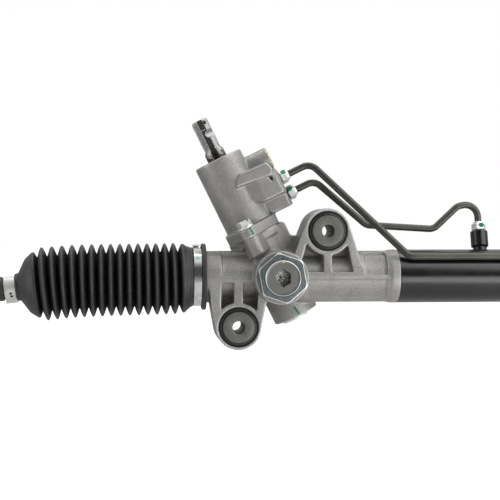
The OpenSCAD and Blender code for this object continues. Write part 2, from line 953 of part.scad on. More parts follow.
module valve_block() {
    // Upper half: a bevelled corner towards the barrel, and a lower edge that slants down to the step
    intersection() {
        translate([0, 0, block_bottom])
            linear_extrude(height = block_top - block_bottom)
                polygon([
                    [5, 4 - block_front], [9, 4 - block_front], [23, -block_front],
                    [block_reach - 6, -block_front], [block_reach - 3, 5 - block_front],
                    [block_reach, -2], [block_reach, block_back], [5, block_back],
                ]);
        facing(block_back, block_front)
            polygon([
                [5, block_top], [5, block_step + 7], [8.5, block_step + 7], [21, block_step],
                [block_reach, block_step], [block_reach, block_top],
            ]);
    }
    // Lower half, set back, with a slanted left flank
    intersection() {
        translate([0, 0, block_bottom])
            linear_extrude(height = block_step - block_bottom + past)
                polygon([
                    [5, -step_front], [block_reach - 4, -step_front], [block_reach, -2],
                    [block_reach, block_back], [5, block_back],
                ]);
        facing(block_back, block_front)
            polygon([
                [5, block_top], [21, block_step], [23, block_bottom + 3], [27, block_bottom],
                [block_reach, block_bottom], [block_reach, block_top],
            ]);
    }
}

// The arm that carries the pressure boss: a slanted plate in front, with its lower corner cut away
module valve_arm() {
    facing(4, arm_front)
        polygon([
            [1.6, block_top + 0.4], [11, arm_top], [arm_right - 3.5, arm_top - 1], [arm_right, arm_top - 9],
            [arm_right - 4, block_top - 3.6],
        ]);
}

// The cored slot between the arm and the port block
module arm_slot() {
    translate([0, -block_front + 7, 0])
        facing(0, arm_front)
            polygon([
                [arm_right - 8, block_top - 3.4], [arm_right - 3.6, block_top - 4.8],
                [arm_right - 5, block_top - 12],
            ]);
}

port_hole_d = 9;
return_reach = 44;

module valve_housing() {
    color(cast_colour) placed() on_pinion()
        difference() {
            union() {
                translate([0, 0, joint_reach])
                    valve_flange();
                bar_s(joint_reach, valve_top - 1, valve_d);
                translate([0, 0, valve_top - 1])
                    cylinder(h = 1, d1 = valve_d, d2 = valve_d - 2);
                bar_s(joint_reach - pilot_len, joint_reach + past, pilot_d);
                valve_block();
                valve_arm();
                bar_side(pressure_s, 5, block_reach - 1, pressure_d);
                rotate([0, 0, 90])
                    bar_side(pressure_s, 5, return_reach, pressure_d);
            }
            arm_slot();
            bar_s(joint_reach - pilot_len - past, sleeve_end + clear, sleeve_d);
            bar_s(sleeve_end, sleeve_end + needle_t + clear, needle_d + 2 * fit);
            bar_s(sleeve_end, valve_top + past, input_d + 2 * clear);
            bar_s(valve_top - seal_t - 2, valve_top + past, seal_d + 2 * fit);
            ring_s(o_ring_s - o_ring_d / 2 - clear, o_ring_s + o_ring_d / 2 + clear, pilot_d + past, pilot_d - 2 * o_ring_d);
            bolt_holes(joint_reach - past, flange_top + past, bolt_d + 2 * clear);
            bar_side(low_port_s, block_reach - 14, block_reach + past, port_hole_d);
            bar_side(high_port_s, block_reach - 14, block_reach + past, port_hole_d);
            bar_side(pressure_s, block_reach - 18, block_reach + past, pressure_hole_d);
            rotate([0, 0, 90])
                bar_side(pressure_s, return_reach - 16, return_reach + past, return_hole_d);
        }
}

o_ring_d = 2;
o_ring_s = joint_reach - pilot_len / 2;

module valve_o_ring() {
    color(rubber_colour) placed() on_pinion()
        translate([0, 0, o_ring_s])
            rotate_extrude()
                translate([pilot_d / 2 - o_ring_d / 2, 0])
                    circle(d = o_ring_d - 2 * fit);
}

module input_shaft_seal() {
    color(rubber_colour) placed() on_pinion()
        ring_s(valve_top - seal_t - 1, valve_top - 1.5, seal_d, input_d + 2 * run);
}

module input_shaft_bearing() {
    color(steel_colour) placed() on_pinion()
        ring_s(sleeve_end + clear + fit, sleeve_end + needle_t, needle_d, input_d + 2 * run);
}

bolt_head_t = 7;

module valve_bolts() {
    color(zinc_colour) placed() on_pinion()
        for (side = [-1, 1])
            translate([bolt_place(side)[0], bolt_place(side)[1], 0]) {
                bar_s(joint_reach - bolt_depth, flange_top + 1, bolt_d);
                bar_s(flange_top + fit, flange_top + 1.8, 17);
                translate([0, 0, flange_top + 1])
                    hex_bar(13, bolt_head_t);
            }
}

// Cylinder tube and what it holds

// A turned boss: a neck welded to the tube and a collar with chamfered edges
module port_boss(x) {
    neck_end = tube_r + 2.5;
    edge = 1.6;
    translate([x, 0, 0])
        rotate([-port_lean, 0, 0])
            rotate_extrude()
                polygon([
                    [0, 0], [port_neck_d / 2, 0], [port_neck_d / 2, neck_end], [port_d / 2 - edge, neck_end],
                    [port_d / 2, neck_end + edge], [port_d / 2, port_reach - edge],
                    [port_d / 2 - edge, port_reach], [0, port_reach],
                ]);
}

module cylinder_tube() {
    color(black_colour) placed()
        difference() {
            union() {
                bar_x(housing_right + fit, tube_end - seat_len, tube_d);
                bar_x(tube_end - seat_len - past, tube_end, seat_d);
                port_boss(near_port);
                port_boss(far_port);
            }
            bar_x(housing_right - past, tube_end + past, 2 * tube_bore);
            for (x = [near_port, far_port])
                translate([x, 0, 0])
                    rotate([-port_lean, 0, 0])
                        cylinder(h = port_reach + past, d = pipe_d + 2 * clear);
        }
}

module inner_seal_sleeve() {
    color("#9a9a98") placed()
        difference() {
            bar_x(seal_start + fit, seal_end, 2 * tube_bore - 2 * fit);
            bar_x(seal_start - past, seal_end + past, rack_d + 4);
            bar_x(seal_end - seal_t - 2, seal_end + past, seal_d + 4);
        }
}

module inner_rack_seal() {
    color(rubber_colour) placed()
        ring_x(seal_end - seal_t - 2 + fit, seal_end - 2, seal_d + 4 - 2 * fit, rack_d + 2 * run);
}

stopper_len = 24;
stopper_ring_t = 2;
stopper_end = tube_end - counterbore_depth;
bush_end = stopper_end - stopper_len;
stack_d = 2 * tube_bore - 2 * fit;

module outer_rack_seal() {
    color(rubber_colour) placed()
        ring_x(stack_start, stack_start + seal_t, stack_d, rack_d + 2 * run);
}

module rack_bush() {
    color("#8d7b4d") placed()
        ring_x(stack_start + seal_t + fit, bush_end, stack_d, rack_d + 2 * run);
}

module end_stopper() {
    color("#9a9a98") placed()
        ring_x(bush_end + fit, stopper_end, stack_d, rack_d + 4);
}

module stopper_ring() {
    color(steel_colour) placed()
        ring_x(stopper_end + fit, stopper_end + stopper_ring_t, stack_d, 2 * tube_bore - 5);
}

// Tie rods and ball joints, drawn at the left end

module on_left_ball() {
    translate([left_ball, 0, 0])
        children();
}

module on_left_rod() {
    on_left_ball()
        rotate([0, -90 - tie_droop, 0])
            children();
}

// A ball whose poles lie on the rack axis
module ball_along_x(d) {
    rotate([0, 90, 0])
        sphere(d = d);
}

module ball_socket() {
    color(steel_colour) placed() on_left_ball()
        difference() {
            union() {
                bar_x(-socket_mouth, socket_back - 6, socket_d);
                bar_x(socket_back - 6 - past, socket_back, rack_d + 4);
            }
            ball_along_x(ball_d + 2 * seat_wall + 4 * fit);
            bar_x(-socket_mouth - past, 0, ball_mouth + 2 * seat_wall);
        }
}

// Width of the ball where the socket mouth crosses it
ball_mouth = 2 * sqrt(ball_d * ball_d / 4 - socket_mouth * socket_mouth);

module ball_seat() {
    color("#d9d4c4") placed() on_left_ball()
        difference() {
            ball_along_x(ball_d + 2 * seat_wall + 2 * fit);
            ball_along_x(ball_d + 2 * fit);
            bar_x(-ball_d, 0, ball_mouth + 2 * fit);
            bar_x(-ball_d, -socket_mouth + 0.5, ball_d + 4 * seat_wall);
        }
}

module lock_washer() {
    color(steel_colour) placed()
        bar_x(rack_left - washer_t + fit, rack_left - fit, rack_d + 6);
}

jam_nut_af = 22;
jam_nut_t = 11;
jam_nut_place = tie_len - thread_len + 14;
// Where the nut sits, rod and nut meet at the pitch diameter of their threads
thread_mean_d = thread_d - 1;
nut_gap = 0.5;

module tie_rod() {
    neck_d = 13.6;
    neck_len = 20;
    taper_len = 10;
    thread_start = tie_len - thread_len;
    color("#5a5b5c") placed() on_left_rod() {
        sphere(d = ball_d);
        bar_s(0, neck_len, neck_d);
        translate([0, 0, neck_len])
            cylinder(h = taper_len, d1 = neck_d, d2 = tie_d);
        bar_s(neck_len + taper_len, thread_start - 2, tie_d);
        translate([0, 0, thread_start - 2])
            cylinder(h = 2, d1 = tie_d, d2 = thread_d);
        bar_s(thread_start, jam_nut_place - nut_gap, thread_d);
        bar_s(thread_start, tie_len - 1, thread_mean_d);
        bar_s(jam_nut_place + jam_nut_t + nut_gap, tie_len - 1, thread_d);
        translate([0, 0, tie_len - 1])
            cylinder(h = 1, d1 = thread_d, d2 = thread_d - 2);
    }
}

module jam_nut() {
    color(zinc_colour) placed() on_left_rod()
        difference() {
            translate([0, 0, jam_nut_place])
                hex_bar(jam_nut_af, jam_nut_t);
            bar_s(jam_nut_place - past, jam_nut_place + jam_nut_t + past, thread_mean_d + 2 * fit);
        }
}

// Boots, drawn at the left end: a collar on the housing, a row of folds and a neck on the tie rod

valley_r = fold_d / 2 - fold_depth;
crest_r = fold_d / 2;
collar_r = seat_d / 2 + 3;
collar_len = 18.2;
fold_start = -housing_left - collar_len - 1.3;
neck_start = 65;
folds_len = left_ball - neck_start - fold_start;
fold_pitch = -folds_len / fold_count;
fold_drop = 1.8;
folds_droop = atan((neck_start * tan(tie_droop) - fold_drop) / -folds_len);
flat_out = 0.8;
flat_in = flat_out + boot_wall * 0.9;
neck_r = tie_d / 2 + 2.1;
clip_place = 91.5;

// Outer and inner outlines of one fold, as distance along the boot and radius
function fold_outer(i) = [
    [(i + 0.5) * fold_pitch - 1, crest_r],
    [(i + 0.5) * fold_pitch + 1, crest_r],
    [(i + 1) * fold_pitch - flat_out, valley_r],
    [(i + 1) * fold_pitch + flat_out, valley_r],
];
function fold_inner(i) = [
    [(i + 1) * fold_pitch + flat_in, valley_r - boot_wall],
    [(i + 1) * fold_pitch - flat_in, valley_r - boot_wall],
    [(i + 0.5) * fold_pitch, crest_r - 1.8],
];

// Turns points of distance and radius into points for a revolve along the boot
function revolve_points(points) = [for (p = points) [p[1], p[0]]];

module boot_folds() {
    outer = [for (i = [0 : fold_count - 1]) each fold_outer(i)];
    inner = [for (i = [fold_count - 1 : -1 : 0]) each fold_inner(i)];
    last = len(outer) - 1;
    body = concat(
        [[-1, valley_r - 2.6], [0.4, valley_r]],
        [for (k = [0 : last - 2]) outer[k]],
        [[fold_count * fold_pitch - 0.4, valley_r], [fold_count * fold_pitch + 1, valley_r - 2.6]],
        [[fold_count * fold_pitch - 1.2, valley_r - 2.6]],
        [for (k = [2 : len(inner) - 1]) inner[k]],
        [[1.2, valley_r - 2.6]]
    );
    translate([fold_start, 0, -fold_drop])
        rotate([0, -90 - folds_droop, 0])
            rotate_extrude()
                polygon(revolve_points(body));
}

module boot_collar() {
    end = collar_len + 2.3;
    in_r = seat_d / 2 + fit;
    points = [
        [0.3, in_r], [0.3, lip_d / 2 - 1], [1.2, lip_d / 2], [3.6, lip_d / 2], [4.4, lip_d / 2 - 1],
        [4.4, collar_r], [4.9 + clamp_w + 0.4, collar_r], [4.9 + clamp_w + 1, collar_r + 1.3],
        [collar_len - 1.2, collar_r + 1.3], [end, valley_r - 0.3], [end, valley_r - 3.4], [end - 2.2, valley_r - 3.4],
        [collar_len - 1.2, in_r],
    ];
    translate([-housing_left, 0, 0])
        rotate([0, -90, 0])
            rotate_extrude()
                polygon(revolve_points(points));
}

module boot_neck() {
    start = neck_start;
    rim = start + 3;
    bead = clip_place + clip_w / 2 + 0.6;
    end = bead + 4.4;
    neck = clip_place - clip_w / 2 - 0.5;
    small = neck - 3;
    rod_r = tie_d / 2 + clear / 2;
    points = [
        [start - 1.4, valley_r - 3.2], [rim, valley_r + 3.2], [rim + 2, valley_r + 3.2],
        [small, neck_r + 4], [neck, neck_r], [bead, neck_r],
        [bead, neck_r + 1.4], [end, neck_r + 1.4],
        [end, rod_r], [neck + 0.4, rod_r],
        [small - 0.8, neck_r + 2.2], [rim + 1.6, valley_r + 1.4], [rim + 0.8, valley_r + 1.4],
        [start + 0.6, valley_r - 3.2],
    ];
    on_left_rod()
        rotate_extrude()
            polygon(revolve_points(points));
}

module boot() {
    color(rubber_colour) placed() {
        boot_collar();
        boot_folds();
        boot_neck();
    }
}

module boot_clamp() {
    inner = collar_r + fit;
    start = 4.8;
    color(zinc_colour) placed()
        translate([-housing_left - start - clamp_w, 0, 0]) {
            difference() {
                union() {
                    bar_x(0, clamp_w, 2 * inner + 1.6);
                    translate([0, -5, 0])
                        cube([clamp_w, 10, inner + 4]);
                }
                bar_x(-past, clamp_w + past, 2 * inner);
            }
        }
}

module boot_clip() {
    inner = neck_r + clear / 2;
    clip_tang = 4;
    color(zinc_colour) placed() on_left_rod()
        translate([0, 0, clip_place - clip_w / 2])
            difference() {
                union() {
                    cylinder(h = clip_w, r = inner + 0.7);
                    translate([-inner - clip_tang, -3, 0])
                        cube([clip_tang, 6, clip_w]);
                }
                translate([0, 0, -past])
                    cylinder(h = clip_w + 2 * past, r = inner);
            }
}

// Pipes: straight runs joined by round bends, swept as rings of points

pipe_sides = 16;
bend_steps = 6;

function unit(v) = v / norm(v);
function bend_cut(a, b, c) =
    let (turn = acos(unit(b - a) * unit(c - b)))
    pipe_bend * tan(turn / 2);

// Places and directions along one round bend, from the run before it to the run after it
function bend_rings(a, b, c) =
    let (
        before = unit(b - a),
        after = unit(c - b),
        turn = acos(before * after),
        inward = unit(after - before * cos(turn)),
        start = b - before * bend_cut(a, b, c)
    )
    [for (i = [0 : bend_steps])
        let (t = turn * i / bend_steps)
        [
            start + before * pipe_bend * sin(t) + inward * pipe_bend * (1 - cos(t)),
            before * cos(t) + inward * sin(t),
        ]];

function pipe_rings(points) =
    let (last = len(points) - 1)
    concat(
        [[points[0], unit(points[1] - points[0])]],
        [for (i = [1 : last - 1]) each bend_rings(points[i - 1], points[i], points[i + 1])],
        [[points[last], unit(points[last] - points[last - 1])]]
    );

function ring_points(place, way) =
    let (
        side = unit(cross(way, [0, 1, 0])),
        up = cross(side, way)
    )
    [for (k = [0 : pipe_sides - 1])
        let (a = 360 * (k + 0.5) / pipe_sides)
        place + pipe_d / 2 * (side * cos(a) + up * sin(a))];

module pipe(points) {
    rings = pipe_rings(points);
    polyhedron(
        points = [for (ring = rings) each ring_points(ring[0], ring[1])],
        faces = concat(
            [[for (k = [0 : pipe_sides - 1]) k]],
            [for (f = side_faces(len(rings), pipe_sides)) [f[3], f[2], f[1], f[0]]],
            [[for (k = [pipe_sides - 1 : -1 : 0]) (len(rings) - 1) * pipe_sides + k]]
        )
    );
}

// A place on the pinion side, from its height along and distance across the pinion axis
function side_place(s, e) = [
    e * cos(tower_tilt) - s * sin(tower_tilt),
    pinion_offset,
    s * cos(tower_tilt) + e * sin(tower_tilt),
];
// A place above a tube port, from its distance to the tube axis
function port_place(x, r) = [x, r * sin(port_lean), r * cos(port_lean)];

nut_len = 9;
pipe_inset = 5;
// The long pipe lies against the upper front of the tube
pipe_lift = (tube_d + pipe_d) / 2 + 1;
run_angle = 50;
front_run = [0, -pipe_lift * sin(run_angle), pipe_lift * cos(run_angle)];
// How far each pipe stands out of its unions before its first bend
low_stub = 30;
high_stub = 34;
near_stub = 30;
far_stub = 36;
// The short pipe runs behind the long one, some way above the tube
back_run = 14;
rise_left = 24.7;
rise_right = 20.7;
rise_hook = 44.2;
far_rise = 39.2;

module left_chamber_pipe() {
    color(pipe_colour) placed()
        pipe([
            side_place(low_port_s, block_reach - pipe_inset),
            side_place(low_port_s, block_reach + low_stub),
            [housing_right - 27.5, back_run, tube_r + rise_left],
            [near_port - 47, back_run, tube_r + rise_right],
            [near_port - 21, back_run + 3, tube_r + rise_hook],
            port_place(near_port, port_reach + near_stub),
            port_place(near_port, port_reach - pipe_inset),
        ]);
}

module right_chamber_pipe() {
    color(pipe_colour) placed()
        pipe([
            side_place(high_port_s, block_reach - pipe_inset),
            side_place(high_port_s, block_reach + high_stub),
            [housing_right + 9, 0, 0] + front_run,
            [far_port - 42, 0, 0] + front_run,
            [far_port - 20, -10, tube_r + far_rise],
            port_place(far_port, port_reach + far_stub),
            port_place(far_port, port_reach - pipe_inset),
        ]);
}

module flare_nut() {
    difference() {
        union() {
            translate([0, 0, fit])
                hex_bar(flare_af, nut_len - 2);
            cylinder(h = nut_len, d = flare_af - 2);
        }
        translate([0, 0, -past])
            cylinder(h = nut_len + 2 * past, d = pipe_d + 2 * fit);
    }
}

module flare_nuts() {
    color(zinc_colour) placed() {
        on_pinion()
            for (s = [low_port_s, high_port_s])
                translate([block_reach + fit, 0, s])
                    rotate([0, 90, 0])
                        flare_nut();
        for (x = [near_port, far_port])
            translate([x, 0, 0])
                rotate([-port_lean, 0, 0])
                    translate([0, 0, port_reach + fit])
                        flare_nut();
    }
}

// Left and right copies

module left_ball_socket() ball_socket();
module left_ball_seat() ball_seat();
module left_lock_washer() lock_washer();
module left_tie_rod() tie_rod();
module left_jam_nut() jam_nut();
module left_boot() boot();
module left_boot_clamp() boot_clamp();
module left_boot_clip() boot_clip();

// Turns a placed left piece into the right one
module right_copy() {
    translate([2 * (middle - upper_ear_x), 0, 0])
        mirror([1, 0, 0])
            children();
}

module right_ball_socket() right_copy() ball_socket();
module right_ball_seat() right_copy() ball_seat();
module right_lock_washer() right_copy() lock_washer();
module right_tie_rod() right_copy() tie_rod();
module right_jam_nut() right_copy() jam_nut();
module right_boot() right_copy() boot();
module right_boot_clamp() right_copy() boot_clamp();
module right_boot_clip() right_copy() boot_clip();

rack_housing();
cylinder_tube();
valve_housing();
valve_bolts();
valve_o_ring();
input_shaft_seal();
input_shaft_bearing();
pinion_upper_bearing();
pinion_lower_bearing();
pinion_end_plug();
rack_guide();
rack_guide_liner();
rack_guide_spring();
rack_guide_cap();
guide_lock_nut();
upper_bush_rubber();
upper_bush_sleeve();
lower_bush_rubber();
lower_bush_sleeve();
left_chamber_pipe();
right_chamber_pipe();
flare_nuts();
inner_seal_sleeve();
inner_rack_seal();
rack_bush();
outer_rack_seal();
end_stopper();
stopper_ring();
left_boot();
right_boot();
left_boot_clamp();
right_boot_clamp();
rack_bar();
piston();
piston_ring();
left_ball_socket();
right_ball_socket();
left_lock_washer();
right_lock_washer();
left_ball_seat();
right_ball_seat();
left_tie_rod();
right_tie_rod();
left_jam_nut();
right_jam_nut();
left_boot_clip();
right_boot_clip();
pinion();
torsion_bar();
valve_sleeve();
sleeve_rings();
input_shaft();
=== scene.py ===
# %% [markdown]
# # A hydraulic rack and pinion steering gear
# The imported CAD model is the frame: it gives every piece its place and size. This lesson dresses it. The
# castings are rounded like real sand and die castings, the rubber boots get their folds, the pipes, nuts and
# clamps get their true forms, and every surface gets a finish with grain, wear and paint marks.

# %% Load the frame
import json
import math

import bmesh
import bpy
import numpy as np
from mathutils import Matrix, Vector


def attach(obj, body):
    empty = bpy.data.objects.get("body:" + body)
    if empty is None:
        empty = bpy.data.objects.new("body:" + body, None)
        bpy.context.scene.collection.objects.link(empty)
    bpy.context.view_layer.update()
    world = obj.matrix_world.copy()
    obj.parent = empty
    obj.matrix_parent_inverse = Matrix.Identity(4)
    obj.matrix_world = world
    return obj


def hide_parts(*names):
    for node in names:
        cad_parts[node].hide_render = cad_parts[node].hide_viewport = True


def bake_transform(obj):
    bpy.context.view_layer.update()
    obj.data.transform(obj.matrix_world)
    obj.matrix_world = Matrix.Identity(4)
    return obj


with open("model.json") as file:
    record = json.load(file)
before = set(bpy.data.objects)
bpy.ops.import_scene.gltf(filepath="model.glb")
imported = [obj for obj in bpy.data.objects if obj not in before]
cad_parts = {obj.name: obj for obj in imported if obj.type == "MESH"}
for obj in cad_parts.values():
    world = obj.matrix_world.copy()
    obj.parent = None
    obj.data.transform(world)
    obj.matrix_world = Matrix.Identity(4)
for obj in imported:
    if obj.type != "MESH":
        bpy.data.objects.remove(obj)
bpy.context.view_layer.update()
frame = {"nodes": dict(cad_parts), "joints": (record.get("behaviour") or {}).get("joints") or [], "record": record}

scene = bpy.context.scene
nodes = frame["nodes"]
joints = {joint["name"]: joint for joint in frame["joints"]}
MM = 0.001

# %% [markdown]
# ## Places
# The frame's joints give the places that everything else hangs on: the rack axis runs through the ball
# centres, and the pinion's joint gives the tilted axis of the valve tower. Sizes here are in millimetres from
# the point where the rack axis passes the rack guide, and one function turns them into the frame's metres.

# %% Rack axis, pinion axis and ball centres
pinion_place = np.array(joints["pinion_turn"]["pos_m"])
pinion_way = np.array(joints["pinion_turn"]["axis"])
pinion_way /= np.linalg.norm(pinion_way)
pinion_offset = pinion_place[1] / MM
rack_origin = pinion_place * [1, 0, 1]
tower_tilt = math.atan2(-pinion_way[0], pinion_way[2])
left_ball = (joints["left_tie_rod_swing"]["pos_m"][0] - rack_origin[0]) / MM
right_ball = (joints["right_tie_rod_swing"]["pos_m"][0] - rack_origin[0]) / MM
middle = (left_ball + right_ball) / 2


def from_rack(points):
    """Places in millimetres from the guide axis, as places in metres in the frame."""
    return rack_origin + np.asarray(points, float) * MM


def from_tower(points):
    """Places across, behind and along the pinion axis, turned by the tower's tilt into rack places."""
    across, behind, along = np.moveaxis(np.asarray(points, float), -1, 0)
    x = across * math.cos(tower_tilt) - along * math.sin(tower_tilt)
    z = along * math.cos(tower_tilt) + across * math.sin(tower_tilt)
    return np.stack([x, behind + pinion_offset, z], axis=-1)


print("tilt", round(math.degrees(tower_tilt), 1), "balls", round(left_ball), round(right_ball))

# %% [markdown]
# ## Camera
# The photograph was taken from about 1.25 m, a little left of the guide and almost level, with a lens whose
# field is 22.5 degrees. Blender's lens and sensor give that field, and the camera only has to be aimed.

# %% Camera
eye_place = from_rack([-147, -1250, 45.5])
aim_place = from_rack([-27, 0, 26.5])
field_px = 500
focal_px = 1255.9
camera_data = bpy.data.cameras.new("studio_camera")
camera_data.sensor_width = 36
camera_data.lens = camera_data.sensor_width * focal_px / field_px
camera_data.clip_start = 0.05
camera = bpy.data.objects.new("studio_camera", camera_data)
scene.collection.objects.link(camera)
scene.camera = camera


def aim(thing, place, target):
    """Puts a camera or lamp at a place and turns its -Z axis to the target, with Y kept up."""
    thing.location = Vector(place)
    thing.rotation_mode = "QUATERNION"
    thing.rotation_quaternion = (Vector(target) - Vector(place)).to_track_quat("-Z", "Y")


aim(camera, eye_place, aim_place)
scene.view_settings.view_transform = "Standard"
print("lens", round(camera_data.lens, 1), "mm")

# %% [markdown]
# ## Light and ground
# A catalogue picture of metal uses big soft boxes. Four large area lamps do that here. The ground is a pale
# plane well below the gear. The camera sees plain white round the object. Shiny pieces mirror a room with a
# bright ceiling, a grey horizon and a dark end behind the camera, which gives their long dark bands.

# %% Lamps
def soft_box(name, place, target, width, height, power):
    """A rectangular area lamp, in millimetres and watts, aimed at a place on the gear."""
    data = bpy.data.lights.new(name, "AREA")
    data.shape = "RECTANGLE"
    data.size = width * MM
    data.size_y = height * MM
    data.energy = power
    lamp = bpy.data.objects.new(name, data)
    scene.collection.objects.link(lamp)
    aim(lamp, from_rack(place), from_rack(target))


soft_box("key_light", [950, -700, 900], [60, 0, 0], 1400, 1100, 14)
soft_box("fill_light", [-1200, -350, 100], [0, 0, 30], 700, 900, 4.5)
soft_box("top_light", [100, 300, 1300], [60, 0, 0], 1600, 500, 8)
soft_box("low_light", [700, -600, -380], [60, 0, 0], 1500, 700, 14)

# %% Nodes and colours
def linear(colour):
    """A grey level, or an sRGB hex colour by the sRGB curve, as a linear colour with alpha."""
    if not isinstance(colour, str):
        return (colour, colour, colour, 1.0)
    channels = [int(colour[i:i + 2], 16) / 255 for i in (1, 3, 5)]
    curve = [c / 12.92 if c <= 0.04045 else ((c + 0.055) / 1.055) ** 2.4 for c in channels]
    return (*curve, 1.0)


def add(tree, kind, settings=None, links=None):
    """Adds a node, sets its properties or input values by name or number, and links its inputs.

    Stops of (place, grey level or hex colour) fill a colour ramp, and a hex colour may stand for a link.
    """
    node = tree.nodes.new(kind)
    for key, value in (settings or {}).items():
        if key == "stops":
            ends = node.color_ramp.elements
            while len(ends) < len(value):
                ends.new(0.5)
            for end, (place, colour) in zip(ends, value):
                end.position = place
                end.color = linear(colour)
        elif isinstance(key, str) and hasattr(node, key):
            setattr(node, key, value)
        else:
            node.inputs[key].default_value = value
    for key, source in (links or {}).items():
        if isinstance(source, str):
            node.inputs[key].default_value = linear(source)
        else:
            tree.links.new(source, node.inputs[key])
    return node


# %% World and ground
world = bpy.data.worlds.new("white_studio")
scene.world = world
world.use_nodes = True
sky = world.node_tree
sky.nodes.clear()
ray = add(sky, "ShaderNodeLightPath")
seen = add(sky, "ShaderNodeMath", {"operation": "MAXIMUM"},
           {0: ray.outputs["Is Camera Ray"], 1: ray.outputs["Is Transmission Ray"]})
way_up = add(sky, "ShaderNodeSeparateXYZ", links={0: add(sky, "ShaderNodeTexCoord").outputs["Generated"]})
height = add(sky, "ShaderNodeMapRange", {1: -1.0, 2: 1.0}, {0: way_up.outputs["Z"]})
room = add(sky, "ShaderNodeValToRGB",
           {"stops": [(0.0, 0.8), (0.38, 0.5), (0.5, 0.3), (0.62, 0.6), (0.8, 1.0)]}, {0: height.outputs[0]})
towards_camera = add(sky, "ShaderNodeMapRange", {"interpolation_type": "SMOOTHSTEP", 1: -0.35, 2: -0.8},
                     {0: way_up.outputs["Y"]})
dim_room = add(sky, "ShaderNodeMix", {"data_type": "RGBA", 7: (0.07, 0.08, 0.085, 1)},
               {0: towards_camera.outputs[0], 6: room.outputs[0]})
glossy_room = add(sky, "ShaderNodeBackground", {"Strength": 1.0}, {"Color": dim_room.outputs[2]})
plain_room = add(sky, "ShaderNodeBackground", {"Color": (1, 1, 1, 1), "Strength": 0.34})
white_room = add(sky, "ShaderNodeBackground", {"Color": (1, 1, 1, 1), "Strength": 1.0})
lit = add(sky, "ShaderNodeMixShader", links={0: ray.outputs["Is Glossy Ray"], 1: plain_room.outputs[0],
                                             2: glossy_room.outputs[0]})
backdrop = add(sky, "ShaderNodeMixShader", links={0: seen.outputs[0], 1: lit.outputs[0],
                                                  2: white_room.outputs[0]})
add(sky, "ShaderNodeOutputWorld", links={0: backdrop.outputs[0]})

floor_drop = 420
floor_half = 30000


def white_floor():
    """A square plane below the gear that shows white, and greys a little where the gear shades it."""
    corners = [(-floor_half, -floor_half), (floor_half, -floor_half), (floor_half, floor_half),
               (-floor_half, floor_half)]
    mesh = bpy.data.meshes.new("floor")
    mesh.from_pydata([tuple(from_rack([x, y, -floor_drop])) for x, y in corners], [], [(0, 1, 2, 3)])
    floor = bpy.data.objects.new("floor", mesh)
    scene.collection.objects.link(floor)
    material = bpy.data.materials.new("white_ground")
    material.use_nodes = True
    tree = material.node_tree
    tree.nodes.clear()
    path = add(tree, "ShaderNodeLightPath")
    matt = add(tree, "ShaderNodeBsdfDiffuse", {"Color": linear("#e6e6e6")})
    shine = add(tree, "ShaderNodeEmission", {"Color": (1, 1, 1, 1), "Strength": 0.9})
    both = add(tree, "ShaderNodeAddShader", links={0: matt.outputs[0], 1: shine.outputs[0]})
    mix = add(tree, "ShaderNodeMixShader", links={0: path.outputs["Is Camera Ray"], 1: matt.outputs[0],
                                                  2: both.outputs[0]})
    add(tree, "ShaderNodeOutputMaterial", links={0: mix.outputs[0]})
    mesh.materials.append(material)


white_floor()
print("lamps, world and floor are ready")

# %% [markdown]
# ## Mesh tools
# Most new pieces are grids: rows of points round an axis or along a path, worked out as whole arrays. One
# function turns a grid into a mesh, another carries a profile round an axis, a third carries a circle along a
# bent path. A corner of a profile is rounded by an arc, because no machined or pressed edge is truly sharp.

# %% Grids to meshes
def make_piece(name, points, material, loop=False, crease=38):
    """Makes a mesh from a grid of rack places (rows, columns, xyz) in millimetres.

    Columns close round the piece, and rows close when loop is set. Doubled points, such as the ring of a
    pole, are merged, and the faces are turned outwards. Edges sharper than crease degrees stay sharp.
    """
    rows, columns = points.shape[:2]
    row = np.arange(rows if loop else rows - 1)
    r, c = np.meshgrid(row, np.arange(columns), indexing="ij")
    r2, c2 = (r + 1) % rows, (c + 1) % columns
    faces = np.stack([r * columns + c, r * columns + c2, r2 * columns + c2, r2 * columns + c], axis=-1)
    mesh = bpy.data.meshes.new(name)
    mesh.from_pydata(from_rack(points).reshape(-1, 3).tolist(), [], faces.reshape(-1, 4).tolist())
    work = bmesh.new()
    work.from_mesh(mesh)
    bmesh.ops.remove_doubles(work, verts=work.verts, dist=1e-6)
    holes = [edge for edge in work.edges if len(edge.link_faces) == 1]
    if holes:
        bmesh.ops.holes_fill(work, edges=holes, sides=0)
    bmesh.ops.recalc_face_normals(work, faces=work.faces)
    work.to_mesh(mesh)
    work.free()
    mesh.shade_smooth()
    mesh.set_sharp_from_angle(angle=math.radians(crease))
    mesh.materials.append(material)
    piece = bpy.data.objects.new(name, mesh)
    scene.collection.objects.link(piece)
    return piece


def put(piece, node, body="gear_housing"):
    """Lets a piece stand for a CAD node and ride with that node's body."""
    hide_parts(node)
    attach(piece, body)


def fillet(points, radius, steps=4):
    """Rounds each inner corner of an open outline by a short curve that touches both sides."""
    points = np.asarray(points, float)
    out = [points[0]]
    for before, corner, after in zip(points[:-2], points[1:-1], points[2:]):
        to_before, to_after = before - corner, after - corner
        reach = min(radius, np.linalg.norm(to_before) * 0.49, np.linalg.norm(to_after) * 0.49)
        start = corner + to_before / np.linalg.norm(to_before) * reach
        end = corner + to_after / np.linalg.norm(to_after) * reach
        t = np.linspace(0, 1, steps)[:, None]
        out.extend((1 - t) ** 2 * start + 2 * t * (1 - t) * corner + t ** 2 * end)
    out.append(points[-1])
    return np.array(out)


def axis_frame(way, side):
    """Two unit directions square to a way, the first as near as can be to a chosen side, or else to Z."""
    way = np.asarray(way, float) / np.linalg.norm(way)
    if abs(np.dot(side, way)) > 0.95:
        side = (0.0, 0.0, 1.0)
    first = np.asarray(side, float) - way * np.dot(side, way)
    first /= np.linalg.norm(first)
    return way, first, np.cross(way, first)


